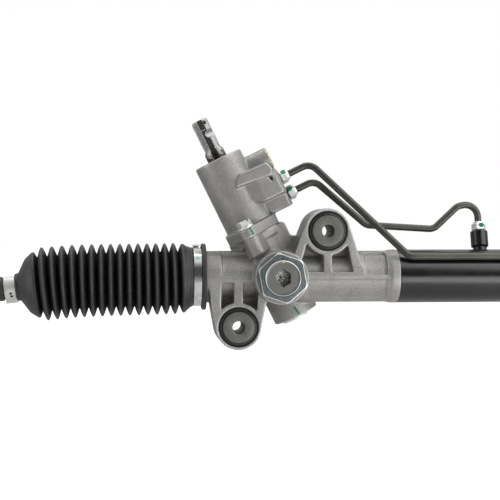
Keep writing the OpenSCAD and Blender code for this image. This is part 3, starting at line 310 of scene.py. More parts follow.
def ring_angles(columns):
    """The angles of the points of a closed ring."""
    return np.linspace(0, 2 * np.pi, columns, endpoint=False)


def turned(rows, origin, way, columns, side=(0.0, 1.0, 0.0)):
    """Rows of (distance, radius) carried round an axis: origin + distance * way + radius * ring.

    A radius is one number, or one for each angle. The first angle faces the side direction.
    """
    way, first, second = axis_frame(way, side)
    angle = ring_angles(columns)
    ring = np.cos(angle)[:, None] * first + np.sin(angle)[:, None] * second
    grid = [np.asarray(origin, float) + distance * way + np.broadcast_to(radius, (columns,))[:, None] * ring
            for distance, radius in rows]
    return np.stack(grid)


def path_sides(path):
    """Two unit directions square to each place of a path, the first kept square to Y."""
    tangent = np.gradient(path, axis=0)
    tangent /= np.linalg.norm(tangent, axis=1)[:, None]
    side = np.cross(tangent, [0.0, 1.0, 0.0])
    side /= np.linalg.norm(side, axis=1)[:, None]
    return side, np.cross(side, tangent)


def bent_path(corners, radius, steps=10):
    """A path of straight runs through corners, each corner replaced by an arc of one radius."""
    corners = np.asarray(corners, float)
    path = [corners[0]]
    for before, corner, after in zip(corners[:-2], corners[1:-1], corners[2:]):
        inward = (corner - before) / np.linalg.norm(corner - before)
        onward = (after - corner) / np.linalg.norm(after - corner)
        turn = math.acos(np.clip(np.dot(inward, onward), -1, 1))
        cut = radius * math.tan(turn / 2)
        bend = onward - inward * math.cos(turn)
        bend /= np.linalg.norm(bend)
        t = np.linspace(0, turn, steps)[:, None]
        path.extend(corner - inward * cut + radius * (inward * np.sin(t) + bend * (1 - np.cos(t))))
    path.append(corners[-1])
    path = np.array(path)
    lengths = np.r_[0, np.cumsum(np.linalg.norm(np.diff(path, axis=0), axis=1))]
    even = np.unique(np.r_[lengths, np.arange(0, lengths[-1], 4.0)])
    return np.stack([np.interp(even, lengths, path[:, k]) for k in range(3)], axis=1)


def swept(path, radius, columns=28):
    """Points of a circle carried along a path."""
    side, up = path_sides(path)
    angle = ring_angles(columns)
    ring = np.cos(angle)[None, :, None] * side[:, None] + np.sin(angle)[None, :, None] * up[:, None]
    return path[:, None] + ring * radius


print("mesh tools are ready")

# %% [markdown]
# ## Finishes
# Each finish is named for what the real one is. Patterns read Object coordinates, and their scales come from
# real sizes. The picture shows a millimetre as one pixel, so the finest patterns are drawn coarser than the
# real ones, whose grain and tool rings are some tenths of a millimetre: a grain of about 1 mm gives the eye
# a cast skin, and rings 0.6 mm apart give it a lathe's work.

# %% Shader helpers
def new_material(name):
    """An empty node material with a Principled shader joined to its output."""
    material = bpy.data.materials.new(name)
    material.use_nodes = True
    tree = material.node_tree
    tree.nodes.clear()
    shader = add(tree, "ShaderNodeBsdfPrincipled")
    add(tree, "ShaderNodeOutputMaterial", links={0: shader.outputs[0]})
    return material, tree, shader


def grain(tree, size_mm, detail=3.0, roughness=0.55):
    """Noise whose blotches are about size_mm across, between 0 and 1."""
    coordinates = add(tree, "ShaderNodeTexCoord").outputs["Object"]
    noise = add(tree, "ShaderNodeTexNoise", {"Scale": 1 / (size_mm * MM), "Detail": detail,
                                             "Roughness": roughness}, {"Vector": coordinates})
    return noise.outputs["Fac"]


def open_sky(tree, reach_mm):
    """The share of open sky that a point sees within a reach: low in hollows and between folds."""
    node = add(tree, "ShaderNodeAmbientOcclusion", {"Distance": reach_mm * MM, "samples": 8})
    return node.outputs["AO"]


def patched(tree, pattern, stops, first, second):
    """Two colours mixed by a pattern, whose stops give the share of the second colour."""
    share = add(tree, "ShaderNodeValToRGB", {"stops": stops}, {0: pattern})
    mix = add(tree, "ShaderNodeMix", {"data_type": "RGBA"}, {0: share.outputs[0], 6: first, 7: second})
    return mix.outputs[2]


def surface(tree, shader, colour, roughness, metallic, bumps):
    """Joins a finish to its shader.

    Roughness is a number, or a pattern with its stops. Each bump is (pattern, depth in mm, strength), and
    each is laid on the one before.
    """
    tree.links.new(colour, shader.inputs["Base Color"])
    if isinstance(roughness, tuple):
        pattern, stops = roughness
        rough = add(tree, "ShaderNodeValToRGB", {"stops": stops}, {0: pattern})
        tree.links.new(rough.outputs[0], shader.inputs["Roughness"])
    else:
        shader.inputs["Roughness"].default_value = roughness
    shader.inputs["Metallic"].default_value = metallic
    links = {}
    for height, depth_mm, strength in bumps:
        links["Height"] = height
        bump = add(tree, "ShaderNodeBump", {"Distance": depth_mm * MM, "Strength": strength}, links)
        links["Normal"] = bump.outputs[0]
    tree.links.new(links["Normal"], shader.inputs["Normal"])


# %% Cast aluminium
def cast_aluminium():
    """Cast aluminium: mid grey and matt, with a fine grain from the mould.

    The eye sees soft patches some 16 mm across, fine light speckles and pale worn edges. Hollows take painted
    shade, a darker colour where they see little open sky, and they are less metallic there.
    """
    material, tree, shader = new_material("cast_aluminium")
    blotch = grain(tree, 16, 4)
    fine = grain(tree, 1.1, 3, 0.7)
    edges = add(tree, "ShaderNodeNewGeometry").outputs["Pointiness"]
    skin = patched(tree, blotch, [(0.35, 0.0), (0.68, 1.0)], "#7a7a78", "#8d8c8a")
    skin = patched(tree, fine, [(0.40, 0.0), (0.66, 1.0)], skin, "#9f9e9a")
    skin = patched(tree, edges, [(0.51, 0.0), (0.56, 1.0)], skin, "#b4b3b0")
    # Painted shade: hollows that see little open sky within 11 mm take a darker colour
    skin = patched(tree, open_sky(tree, 11), [(0.1, 0.0), (0.75, 1.0)], "#7c7b77", skin)
    surface(tree, shader, skin, (blotch, [(0.3, 0.56), (0.7, 0.44)]), 0.0,
            [(fine, 0.14, 0.6), (grain(tree, 5, 3), 0.25, 0.3)])
    bright = add(tree, "ShaderNodeValToRGB", {"stops": [(0.2, 0.0), (0.8, 0.6)]}, {0: open_sky(tree, 14)})
    tree.links.new(bright.outputs[0], shader.inputs["Metallic"])
    return material


# %% Metal, paint and rubber
def metal(name, low, high, roughness, grain_mm=0.5, metallic=1.0):
    """Bare or plated metal: two near colours mixed in 6 mm patches, and a grain that breaks its shine."""
    material, tree, shader = new_material(name)
    fine = grain(tree, grain_mm, 3, 0.6)
    colour = patched(tree, grain(tree, 6, 4), [(0.3, 0.0), (0.7, 1.0)], low, high)
    low_rough, high_rough = roughness
    surface(tree, shader, colour, (fine, [(0.3, low_rough), (0.7, high_rough)]), metallic,
            [(fine, 0.03, 0.35)])
    return material


def painted(name, low, high, roughness, peel_mm, metallic=0.0):
    """Paint over steel: orange peel as a soft bump, small changes of colour and gloss."""
    material, tree, shader = new_material(name)
    blotch = grain(tree, 25, 3)
    colour = patched(tree, blotch, [(0.3, 0.0), (0.7, 1.0)], low, high)
    low_rough, high_rough = roughness
    surface(tree, shader, colour, (blotch, [(0.3, low_rough), (0.7, high_rough)]), metallic,
            [(grain(tree, peel_mm, 2), 0.03, 0.3)])
    return material


def moulded_rubber():
    """Moulded rubber: matt and nearly black, with painted shade that makes it darkest between its folds."""
    material, tree, shader = new_material("moulded_rubber")
    fine = grain(tree, 0.7, 3, 0.7)
    colour = patched(tree, grain(tree, 9, 4), [(0.3, 0.0), (0.75, 1.0)], "#1e1e1e", "#272726")
    # Painted shade: the hollows between the folds, which see little open sky, go nearly black
    colour = patched(tree, open_sky(tree, 9), [(0.25, 0.0), (0.8, 1.0)], "#020202", colour)
    surface(tree, shader, colour, (fine, [(0.3, 0.42), (0.7, 0.6)]), 0.0, [(fine, 0.05, 0.4)])
    return material


# %% Turned face
ring_pitch = 0.6


def turned_rings(name, centre, low, high, floor_at, rim_at):
    """A face turned on a lathe: rings round an axis along Y, a painted highlight on the rim, painted shade in
    hollows and a speckled socket floor darkened by painted shade.

    A wave texture's rings lie 0.314 / Scale apart, so the scale follows from the rings' pitch.
    """
    material, tree, shader = new_material(name)
    coordinates = add(tree, "ShaderNodeMapping", {"Location": tuple(-np.array(centre))},
                      {0: add(tree, "ShaderNodeTexCoord").outputs["Object"]}).outputs[0]
    rings = add(tree, "ShaderNodeTexWave",
                {"wave_type": "RINGS", "rings_direction": "Y", "Scale": 0.314 / (ring_pitch * MM),
                 "Distortion": 1.5, "Detail": 2.0, "Detail Scale": 2.0},
                {"Vector": coordinates}).outputs["Fac"]
    fine = grain(tree, 0.9, 3, 0.7)
    colour = add(tree, "ShaderNodeMix", {"data_type": "RGBA"}, {0: rings, 6: low, 7: high}).outputs[2]
    colour = patched(tree, fine, [(0.4, 0.0), (0.75, 0.6)], colour, "#6c6c68")
    across = add(tree, "ShaderNodeVectorMath", {"operation": "MULTIPLY", 1: (1, 0, 1)},
                 {0: coordinates}).outputs[0]
    from_axis = add(tree, "ShaderNodeVectorMath", {"operation": "LENGTH"}, {0: across}).outputs["Value"]
    # Painted highlight: a near-white ring on the rim's chamfer
    rim_share = add(tree, "ShaderNodeMapRange", {1: (rim_at - 0.2) * MM, 2: (rim_at + 0.1) * MM},
                    {0: from_axis}).outputs[0]
    colour = add(tree, "ShaderNodeMix", {"data_type": "RGBA"},
                 {0: rim_share, 6: colour, 7: "#d6d6d2"}).outputs[2]
    # Painted shade: hollows within 5 mm, such as the socket's corners, take a dark colour
    colour = patched(tree, open_sky(tree, 5), [(0.3, 0.0), (0.8, 1.0)], "#2e2e2b", colour)
    # The socket floor is rough speckle, darkened by painted shade below a depth
    rough_shaded_floor = patched(tree, grain(tree, 1.2, 2, 0.8), [(0.45, 0.0), (0.62, 1.0)], "#101010", "#bcbcb8")
    deep = add(tree, "ShaderNodeSeparateXYZ", links={0: coordinates}).outputs["Y"]
    floor_share = add(tree, "ShaderNodeMapRange", {1: floor_at * MM, 2: (floor_at + 1) * MM},
                      {0: deep}).outputs[0]
    colour = add(tree, "ShaderNodeMix", {"data_type": "RGBA"},
                 {0: floor_share, 6: colour, 7: rough_shaded_floor}).outputs[2]
    surface(tree, shader, colour, 0.38, 0.7, [(fine, 0.06, 0.4), (rings, 0.03, 0.35)])
    return material


# %% Shaft with wear and painted reflection
def shaft_sheen_and_wear():
    """Steel whose tone is stored on its points as painted reflection and light, with wear patches: dark
    serrations, grey flanks, and milled cuts bright as cut steel and as painted highlight.
    """
    material, tree, shader = new_material("serrated_steel")
    stored = add(tree, "ShaderNodeAttribute", {"attribute_name": "tone"}).outputs["Fac"]
    # Painted reflection and light: the dark end stands for the dark room mirrored in the serrations, the grey for
    # a lit flank
    skin = add(tree, "ShaderNodeValToRGB", {"stops": [(0.0, "#343432"), (0.5, "#a0a09e"), (1.0, "#929290")]},
               {0: stored}).outputs[0]
    wear_and_sheen = patched(tree, grain(tree, 2.5, 3), [(0.45, 0.0), (0.8, 0.25)], skin, "#6f6f6c")
    surface(tree, shader, wear_and_sheen, (grain(tree, 0.8, 3), [(0.3, 0.36), (0.7, 0.46)]), 0.85,
            [(grain(tree, 0.6, 3), 0.02, 0.15)])
    return material


# %% The gear's finishes
cast = cast_aluminium()
rubber = moulded_rubber()
serrated_steel = shaft_sheen_and_wear()
turned_face = turned_rings("turned_face", rack_origin, "#565654", "#7e7e7b", -49.5, 16.6)
# Alloy turned on a lathe, where rings don't show: pale and satin
turned_alloy = metal("turned_alloy", "#8f8f8d", "#a3a3a0", (0.34, 0.46), 0.7, 0.7)
# Bright zinc on bolts, pipe nuts and the plug: nearly white, with a soft shine
bright_zinc = metal("bright_zinc", "#cfd2d0", "#e4e6e4", (0.36, 0.5), 0.5, 0.8)
# Blue passivated zinc on the lock nut: cooler and darker, and it mirrors more
blued_zinc = metal("blued_zinc", "#6b7577", "#828b8c", (0.2, 0.34), 0.8)
# Plain zinc on the jam nuts: light grey and fairly glossy
zinc = metal("zinc_plate", "#b4b7b6", "#d3d5d3", (0.16, 0.32))
# Galvanised strip on the small clips: whitish and dull
clip_steel = metal("galvanised_clip", "#c4c3bf", "#dddcd8", (0.4, 0.55), 0.8, 0.7)
# Rolled stainless strip on the large clamps: the glossiest metal here
band_steel = metal("stainless_band", "#b9bab9", "#d6d6d4", (0.14, 0.26))
# Ground steel inside: a clean grey shine
steel = metal("ground_steel", "#8f9092", "#a9aaab", (0.2, 0.34))
# Forged and oiled steel on the tie rods: dark grey with a broad shine
forged = metal("forged_steel", "#4b4b4c", "#5d5d5e", (0.35, 0.5), 0.9)
# Phosphated steel on the bushes: dull, with a warm green-grey cast
bush_steel = metal("phosphated_steel", "#5c5c57", "#6c6c66", (0.42, 0.55), 0.5, 0.6)
# Bronze lining inside: brownish and satin
bronze = metal("bearing_lining", "#7f6c46", "#95815a", (0.35, 0.5))
# Gloss paint on the cylinder tube: black, with long clear reflections
tube_paint = painted("black_gloss_paint", "#0d0d0d", "#131312", (0.2, 0.28), 2.5)
# Plastic coating on the pipes: olive grey with a metal glint under it
pipe_coat = painted("olive_pipe_coating", "#3a3a35", "#484842", (0.28, 0.38), 1.2, 0.35)
# Seal plastic inside: grey-green and dull
plastic = painted("seal_plastic", "#4b5550", "#59635d", (0.4, 0.5), 1.0)
print("materials:", len(bpy.data.materials))

# %% [markdown]
# ## Check paint
# An inspector dabs green or yellow paint over each joint that has been tightened. The dabs are small, so a
# dab is a change of colour within a radius of a place on the piece, and noise makes its edge ragged. A line
# of paint is a row of dabs. The same change makes the shaft's neck dark and shows the clip's slot.

# %% Check paint
def paint_marks(material, marks, paint):
    """Dabs of paint: each mark is (rack place, radius) in mm, and noise makes its edge ragged."""
    tree = material.node_tree
    shader = next(node for node in tree.nodes if node.type == "BSDF_PRINCIPLED")
    bare = shader.inputs["Base Color"].links[0].from_socket
    here = add(tree, "ShaderNodeTexCoord").outputs["Object"]
    nearest = None
    for place, radius in marks:
        away = add(tree, "ShaderNodeVectorMath", {"operation": "DISTANCE", 1: tuple(from_rack(place))},
                   {0: here})
        share = add(tree, "ShaderNodeMath", {"operation": "DIVIDE", 1: radius * MM},
                    {0: away.outputs["Value"]})
        if nearest is not None:
            share = add(tree, "ShaderNodeMath", {"operation": "MINIMUM"}, {0: share.outputs[0], 1: nearest})
        nearest = share.outputs[0]
    ragged = add(tree, "ShaderNodeMath", {"operation": "MULTIPLY_ADD", 1: 0.9},
                 {0: grain(tree, 1.6, 3), 2: nearest})
    halved = add(tree, "ShaderNodeMath", {"operation": "MULTIPLY", 1: 0.5}, {0: ragged.outputs[0]})
    dabbed = patched(tree, halved.outputs[0], [(0.68, 1.0), (0.74, 0.0)], bare, paint)
    tree.links.new(dabbed, shader.inputs["Base Color"])


green, yellow = "#1f6a54", "#c3bd8b"
pipe_nut_dabs = [([7.2, 11, 106.8], 3.9), ([12.8, 11, 89.6], 4.2), ([211.5, 8, 51.6], 2.8)]
bolt_dab = [([-31.3, -26, 57.5], 2.6)]
flange_line = [([-28.9, -29, 48.4], 1.9), ([-27.6, -29, 45.8], 1.9), ([-26.3, -29, 43.4], 1.9)]
foot_line = [([17.4, -5, -31.2], 2.0), ([18.6, -5, -32.9], 2.0), ([19.8, -5, -34.6], 2.0),
             ([21.0, -5, -36.4], 2.0)]
port_line = [([-9.4, 8, 124.6], 1.9), ([-7.0, 7, 121.9], 1.9), ([-4.9, 6, 118.9], 1.9),
             ([-3.4, 7, 115.5], 1.9), ([-2.2, 8, 112.0], 1.9)]
paint_marks(bright_zinc, pipe_nut_dabs + bolt_dab, green)
paint_marks(cast, flange_line + foot_line, green)
paint_marks(cast, port_line, yellow)
paint_marks(turned_face, [([0.5, -55, 19.0], 0.9), ([0.3, -55, 15.6], 1.1)], "#b0a878")
paint_marks(pipe_coat, [([205.8, 12, 70.5], 3.2), ([208.0, 12, 67.0], 2.8)], "#234f43")
paint_marks(band_steel, [([-80.6, -22, 19.5], 2.6)], "#9dbab0")
paint_marks(serrated_steel, [(from_tower([0.0, 0.0, 132.0]), 11.6)], "#2f2b28")
paint_marks(clip_steel, [([-262.4, -10, -15.4], 1.4), ([-261.5, -9, -18.9], 2.0)], "#1b1b1b")
print("dabs on one line:", len(port_line))

# %% [markdown]
# ## Finishes on the CAD pieces
# Pieces whose CAD form is already right, most of them inside, keep it and only take a finish.

# %% Finish the CAD nodes
finishes = {
    "cast_aluminium": cast, "black_paint": tube_paint, "pipe_coating": pipe_coat, "zinc_plate": zinc,
    "turned_alloy": turned_alloy, "ground_steel": steel, "forged_steel": forged, "bush_steel": bush_steel,
    "black_rubber": rubber, "seal_plastic": plastic, "bush_bronze": bronze,
}
slot_of = {part["node"]: part["material_slot"] for part in frame["record"]["subparts"]}
for name, part in nodes.items():
    if not part.material_slots:
        part.data.materials.append(None)
    for material_slot in part.material_slots:
        material_slot.material = finishes[slot_of[name]]
print("finished CAD nodes:", len(nodes))

# %% [markdown]
# ## Castings
# A casting has no sharp edges: the die gives every inner corner a fillet and every outer edge a small round.
# The CAD solid has the right walls and ribs with sharp edges. A copy of it is turned into an even net of
# small faces by voxels, then each point moves a little towards the middle of its neighbours. That rounds
# edges and fills corners, as the die does. Machined faces hold still, so they stay flat and crisp.

# %% Round a casting
def even_copy(node, voxel_mm):
    """A copy of a CAD node's mesh, merged and rebuilt as an even net by a voxel remesh."""
    mesh = nodes[node].data.copy()
    work = bmesh.new()
    work.from_mesh(mesh)
    bmesh.ops.remove_doubles(work, verts=work.verts, dist=1e-6)
    work.to_mesh(mesh)
    work.free()
    copy = bpy.data.objects.new("work_" + node, mesh)
    scene.collection.objects.link(copy)
    remesh = copy.modifiers.new("net", "REMESH")
    remesh.mode = "VOXEL"
    remesh.voxel_size = voxel_mm * MM
    return copy


def baked(piece):
    """The mesh of a piece with its modifiers applied."""
    graph = bpy.context.evaluated_depsgraph_get()
    return bpy.data.meshes.new_from_object(piece.evaluated_get(graph))


def mesh_arrays(mesh):
    """A mesh's points and edges as arrays."""
    points = np.empty(len(mesh.vertices) * 3)
    mesh.vertices.foreach_get("co", points)
    edges = np.empty(len(mesh.edges) * 2, dtype=np.int64)
    mesh.edges.foreach_get("vertices", edges)
    return points.reshape(-1, 3), edges.reshape(-1, 2)


def relax(points, edges, share, rounds):
    """Moves each point towards the mean of its neighbours by a share, for some rounds."""
    count = np.bincount(edges.ravel(), minlength=len(points))[:, None]
    for _ in range(rounds):
        total = np.zeros_like(points)
        for k in range(3):
            total[:, k] = np.bincount(edges[:, 0], points[edges[:, 1], k], len(points))
            total[:, k] += np.bincount(edges[:, 1], points[edges[:, 0], k], len(points))
        points = points + (total / np.maximum(count, 1) - points) * share[:, None]
    return points


def casting(name, node, machined, voxel_mm=0.9, rounds=6, faces=190000):
    """A rounded copy of a CAD casting. machined gives each point's share of movement, from 0 to 1."""
    work = even_copy(node, voxel_mm)
    mesh = baked(work)
    bpy.data.objects.remove(work)
    points, edges = mesh_arrays(mesh)
    share = 0.5 * machined((points - rack_origin) / MM)
    points = relax(points, edges, share, rounds)
    mesh.vertices.foreach_set("co", points.ravel())
    mesh.update()
    piece = bpy.data.objects.new(name, mesh)
    scene.collection.objects.link(piece)
    triangles = sum(len(p.vertices) - 2 for p in mesh.polygons)
    if triangles > faces:
        thin = piece.modifiers.new("thin", "DECIMATE")
        thin.ratio = faces / triangles
        lighter = baked(piece)
        piece.modifiers.clear()
        piece.data = lighter
    piece.data.name = name
    piece.data.shade_smooth()
    piece.data.materials.clear()
    piece.data.materials.append(cast)
    print(name, triangles, "to", sum(len(p.vertices) - 2 for p in piece.data.polygons))
    return piece


def near(value, place, reach=1.2):
    """1 where a value is within reach of a place, and 0 elsewhere."""
    return (np.abs(value - place) < reach).astype(float)


def tower_places(points):
    """Distances across, behind and along the pinion axis of rack places in millimetres."""
    across = points[:, 0] * math.cos(tower_tilt) + points[:, 2] * math.sin(tower_tilt)
    along = -points[:, 0] * math.sin(tower_tilt) + points[:, 2] * math.cos(tower_tilt)
    return across, points[:, 1] - pinion_offset, along


boss_face = 45
barrel_left, barrel_right = -71.5, 121.0
ear_half_depth = 24
joint_along = 47.5
foot_face = 45
valve_top = 131.5
port_face = 48.5


def housing_share(points):
    """Machined faces of the rack housing: the guide boss, the ear ends, the valve joint and the foot boss."""
    _, _, along = tower_places(points)
    flat = near(points[:, 1], -boss_face) + near(np.abs(points[:, 1]), ear_half_depth, 0.8)
    flat += near(along, joint_along) + near(along, -foot_face)
    flat += near(points[:, 0], barrel_right, 0.8) + near(points[:, 0], barrel_left, 0.8)
    return 1 - 0.85 * np.clip(flat, 0, 1)


def valve_share(points):
    """Machined faces of the valve housing: its joint, its top and the port ends."""
    across, _, along = tower_places(points)
    flat = near(along, joint_along) + near(along, valve_top) + near(across, port_face, 0.8)
    return 1 - 0.85 * np.clip(flat, 0, 1)


for node, share in (("rack_housing", housing_share), ("valve_housing", valve_share)):
    put(casting(node + "_casting", node, share), node)

# %% [markdown]
# ## Rubber boots
# A boot is a thin tube with sixteen folds. Its outline is a wave along the boot with round crests and narrow
# valleys, made from a power of a sine. The wave is carried round a centre line that sags a little behind
# the collar and ends along the drooping tie rod. The wall has an inside too, a little below the outside, so the
# shell is closed. The boot is made in two lengths: one from the housing to the twelfth fold, and the other
# from there to the tie rod.

# %% Boot sizes
tie_droop = math.radians(6.5)
fold_count = 16
first_crest = -94.2
valley_r = 26.6
boot_wall = 1.3
collar_r = 28.2
lip_r = 33.0
neck_r = 10.6
tie_r = 8.5

droop_start, droop_end = -84.0, -240.0
collar_sag = 1.3
line_x = np.linspace(droop_end, droop_start, 157)
line_tilt = np.interp(line_x, [-240, -230, -220, -202, -185, -165, -129, -103, -90, -84],
                      [6.5, 5.8, 4.8, 2.9, 1.5, 0.8, 0.9, 1.7, 1.2, 0.0])
line_slope = np.tan(np.radians(np.convolve(np.pad(line_tilt, 4, mode="edge"), np.full(9, 1 / 9), "valid")))
line_drop = np.r_[0, np.cumsum((line_slope[1:] + line_slope[:-1]) / 2 * np.diff(line_x))]
sag_share = np.clip((droop_start - line_x) / 8, 0, 1)
line_height = line_drop - line_drop[-1] - collar_sag * sag_share ** 2 * (3 - 2 * sag_share)
end_error = (droop_end - left_ball) * math.tan(tie_droop) - line_height[0]
line_height += end_error * ((line_x - droop_start) / (droop_end - droop_start)) ** 2


def centre_line(x):
    """Height and slope of the boot's centre line: its tilt summed along the boot, then the tie rod's line."""
    past = x < droop_end
    end_slope = math.tan(tie_droop)
    height = np.where(past, (x - left_ball) * end_slope, np.interp(x, line_x, line_height))
    return height, np.where(past, end_slope, np.interp(x, line_x, line_slope))


def fold_wave(phase):
    """From 0 in a valley to 1 on a crest, as |sin(pi * phase)| ** 1.2: round crests and narrow valleys."""
    return np.abs(np.sin(np.pi * phase)) ** 1.2


def fold_place(phase):
    """Distance along the rack of a place on the folds, whose pitch grows a little towards the tie rod."""
    from_crest = np.asarray(phase, float) - 0.5
    return first_crest - (8.65 * from_crest + 0.026 * from_crest ** 2)


def folds(first, last, samples=20):
    """Distances and radii of the folds from one fold number to another, outside and inside."""
    phase = np.linspace(first, last, round((last - first) * samples) + 1)
    crest = np.interp(phase, [0.5, 1.5, 9, fold_count], [34.4, 35.4, 35.8, 36.2])
    outside = valley_r + (crest - valley_r) * fold_wave(phase)
    inside = valley_r - boot_wall + (crest - valley_r - 0.6) * fold_wave(phase) ** 1.25
    x = fold_place(phase)
    return np.stack([x, outside], 1), np.stack([x, inside], 1)


def boot_points(outline, mirror, columns=112):
    """Carries an outline of (x, radius) round the drooping centre line, as closed rings."""
    x, radius = outline[:, 0], outline[:, 1]
    height, slope = centre_line(x)
    angle = ring_angles(columns)
    tilt = np.arctan(slope)
    up = np.stack([-np.sin(tilt), np.zeros_like(tilt), np.cos(tilt)], axis=1)
    centre = np.stack([x, np.zeros_like(x), height], axis=1)
    ring_y = np.cos(angle)[None, :, None] * np.array([0.0, 1.0, 0.0])
    ring_up = np.sin(angle)[None, :, None] * up[:, None]
    points = centre[:, None] + radius[:, None, None] * (ring_y + ring_up)
    if mirror:
        points[..., 0] = 2 * middle - points[..., 0]
    return points


split_fold = 12
last_valley = float(fold_place(fold_count))
collar_outside = fillet([
    [-71.8, lip_r - 0.6], [-72.4, lip_r], [-75.2, lip_r], [-76.0, lip_r - 1.0], [-76.0, collar_r],
    [-84.6, collar_r], [-84.8, 29.4], [-87.4, 29.7], [-88.1, 30.9], [-89.8, 31.3], [-92.8, 33.9],
    [first_crest, 34.4]], 0.8)
collar_inside = np.array([[first_crest, 32.2], [-90.4, 28.0], [-88.6, 25.4], [-71.8, 25.4]])
dome_outside = fillet([
    [last_valley, valley_r], [-237.2, 32.5], [-239.2, 32.4], [-246.6, 26.6], [-253.2, 15.6],
    [-254.2, 13.7], [-258.0, 13.4], [-258.4, neck_r], [-269.6, neck_r], [-270.4, 12.0], [-274.4, 12.0],
    [-275.0, 11.2]], 1.6, 6)
dome_inside = np.array([[-275.0, tie_r + 0.35], [-256.0, tie_r + 0.35], [-252.4, 13.0], [-245.4, 24.4],
                        [-238.4, 30.4], [-236.8, 30.4], [last_valley, valley_r - boot_wall]])


def boot_outline(first_part):
    """The closed outline of one length of the boot: along the outside, and back along the inside."""
    if first_part:
        outside, inside = folds(0.5, split_fold)
        return np.vstack([collar_outside[:-1], outside, inside[::-1], collar_inside[1:]])
    outside, inside = folds(split_fold, fold_count)
    return np.vstack([outside[:-1], dome_outside, dome_inside[:-1], inside[::-1]])


def make_boot(side):
    """Both lengths of one boot, made in place of the CAD boot, which is hidden."""
    mirror = side == "right"

    def place(x):
        """A point on the boot's middle at a distance along the rack."""
        height, _ = centre_line(np.array(float(x)))
        across = 2 * middle - x if mirror else x
        return tuple(from_rack([across, 0, float(height)]))

    long_part = make_piece(side + "_boot_folds", boot_points(boot_outline(True), mirror), rubber, loop=True)
    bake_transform(long_part)
    end_part = make_piece(side + "_boot_end", boot_points(boot_outline(False), mirror), rubber, loop=True)
    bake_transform(end_part)
    for part in (long_part, end_part):
        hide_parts(side + "_boot")
    print(side, "boot points:", len(long_part.data.vertices) + len(end_part.data.vertices))


make_boot("left")
make_boot("right")

# %% [markdown]
# ## Pipes
# The two steel pipes are bent on a former with one radius. Their corners are the same as in the CAD model,
# and a circle is carried along the path with enough sides to look round.

# %% Pipes
pipe_r = 3.5
pipe_bend = 12
block_reach = 49
port_reach = 47.5
port_lean = math.radians(15)
tube_r = 26.8
near_port = 210.2
far_port = 386.8
back_run = 14


def port_place(x, r):
    """A place above a tube port, from its distance to the tube axis."""
    return [x, r * math.sin(port_lean), r * math.cos(port_lean)]


def side_place(along, across):
    """A place beside the valve housing, in rack millimetres."""
    return from_tower([across, 0.0, along]).tolist()


pipe_lift = tube_r + pipe_r + 1
run_angle = math.radians(50)
run_y = -pipe_lift * math.sin(run_angle)
run_z = pipe_lift * math.cos(run_angle)
pipes = {
    "left_chamber_pipe": [side_place(68.9, block_reach - 5), side_place(68.9, block_reach + 30),
                          [barrel_right - 27.5, back_run, 51.5], [near_port - 47, back_run, 47.5],
                          [near_port - 21, back_run + 3, 71],
                          port_place(near_port, port_reach + 30), port_place(near_port, port_reach - 5)],
    "right_chamber_pipe": [side_place(86.6, block_reach - 5), side_place(86.6, block_reach + 34),
                           [barrel_right + 9, run_y, run_z], [far_port - 42, run_y, run_z],
                           [far_port - 20, -10, 66],
                           port_place(far_port, port_reach + 36), port_place(far_port, port_reach - 5)],
}
for name, corners in pipes.items():
    path = bent_path(corners, pipe_bend)
    put(make_piece(name + "_steel", swept(path, pipe_r), pipe_coat), name)
    print(name, "length", round(float(np.linalg.norm(np.diff(path, axis=0), axis=1).sum())), "mm")

# %% [markdown]
# ## Hexagons, discs and threads
# Nuts and bolt heads are forged and chamfered: the chamfer is a cone that cuts the six corners, which leaves
# the curved edges that catch the light. A ring of points takes the smaller of two radii, the hexagon's and
# the cone's, and a soft minimum rounds the edge between them, as tumbling and plating do on the real ones.

# %% Soft hexagons
def soft_min(a, b, width):
    """The smaller of two values, rounded where they meet: -width * log(exp(-a/width) + exp(-b/width))."""
    return -width * np.logaddexp(-a / width, -b / width)


def hexagon(across_flats, columns, turn=0.0, corner=0.12):
    """Radius of a hexagon at each angle: the softened smallest of its six flats' distances."""
    angle = ring_angles(columns) - turn
    radius = np.full(columns, 1e3)
    for flat in range(6):
        facing = np.cos(angle - flat * np.pi / 3)
        radius = soft_min(radius, across_flats / 2 / np.maximum(facing, 1e-2), corner)
    return radius


chamfer_slope = math.tan(math.radians(60))


def hex_nut(name, origin, way, across_flats, length, bore, material, turn=0.0, faces=(0.95, 0.95),
            columns=180, steps=9):
    """A chamfered hexagon nut: up its bore, out over one face, along the flats and back over the other face.

    faces gives the width of each flat end, as a share of the width across the flats.
    """
    flats = hexagon(across_flats, columns, turn)
    low, high = (across_flats / 2 * share for share in faces)
    edge = 0.25
    rows = [(edge, bore), (0.0, bore + edge), (0.0, soft_min(flats, np.full(columns, low), 0.1) - edge)]
    depth = (across_flats / 2 / math.cos(math.pi / 6) - min(low, high)) / chamfer_slope + 0.6
    for place in np.r_[np.linspace(0, depth, steps), np.linspace(length - depth, length, steps)]:
        cone = min(low + place * chamfer_slope, high + (length - place) * chamfer_slope)
        rows.append((place, soft_min(flats, np.full(columns, cone), 0.14)))
    rows += [(length, soft_min(flats, np.full(columns, high), 0.1) - edge), (length, bore + edge),
             (length - edge, bore)]
    return make_piece(name, turned(rows, origin, way, columns), material, loop=True, crease=30)


def disc(name, profile, origin, way, material, radius=0.4, columns=96, loop=True):
    """A turned piece whose outline corners are rounded by a radius."""
    points = turned(fillet(profile, radius), origin, way, columns)
    return make_piece(name, points, material, loop=loop, crease=40)


def joined(name, pieces, node):
    """Joins several pieces of the gear housing into one mesh that stands for one CAD node."""
    work = bmesh.new()
    for piece in pieces:
        work.from_mesh(piece.data)
    mesh = bpy.data.meshes.new(name)
    work.to_mesh(mesh)
    work.free()
    mesh.materials.append(pieces[0].data.materials[0])
    mesh.shade_smooth()
    mesh.set_sharp_from_angle(angle=math.radians(32))
    for piece in pieces:
        bpy.data.objects.remove(piece)
    whole = bpy.data.objects.new(name, mesh)
    scene.collection.objects.link(whole)
    put(whole, node)
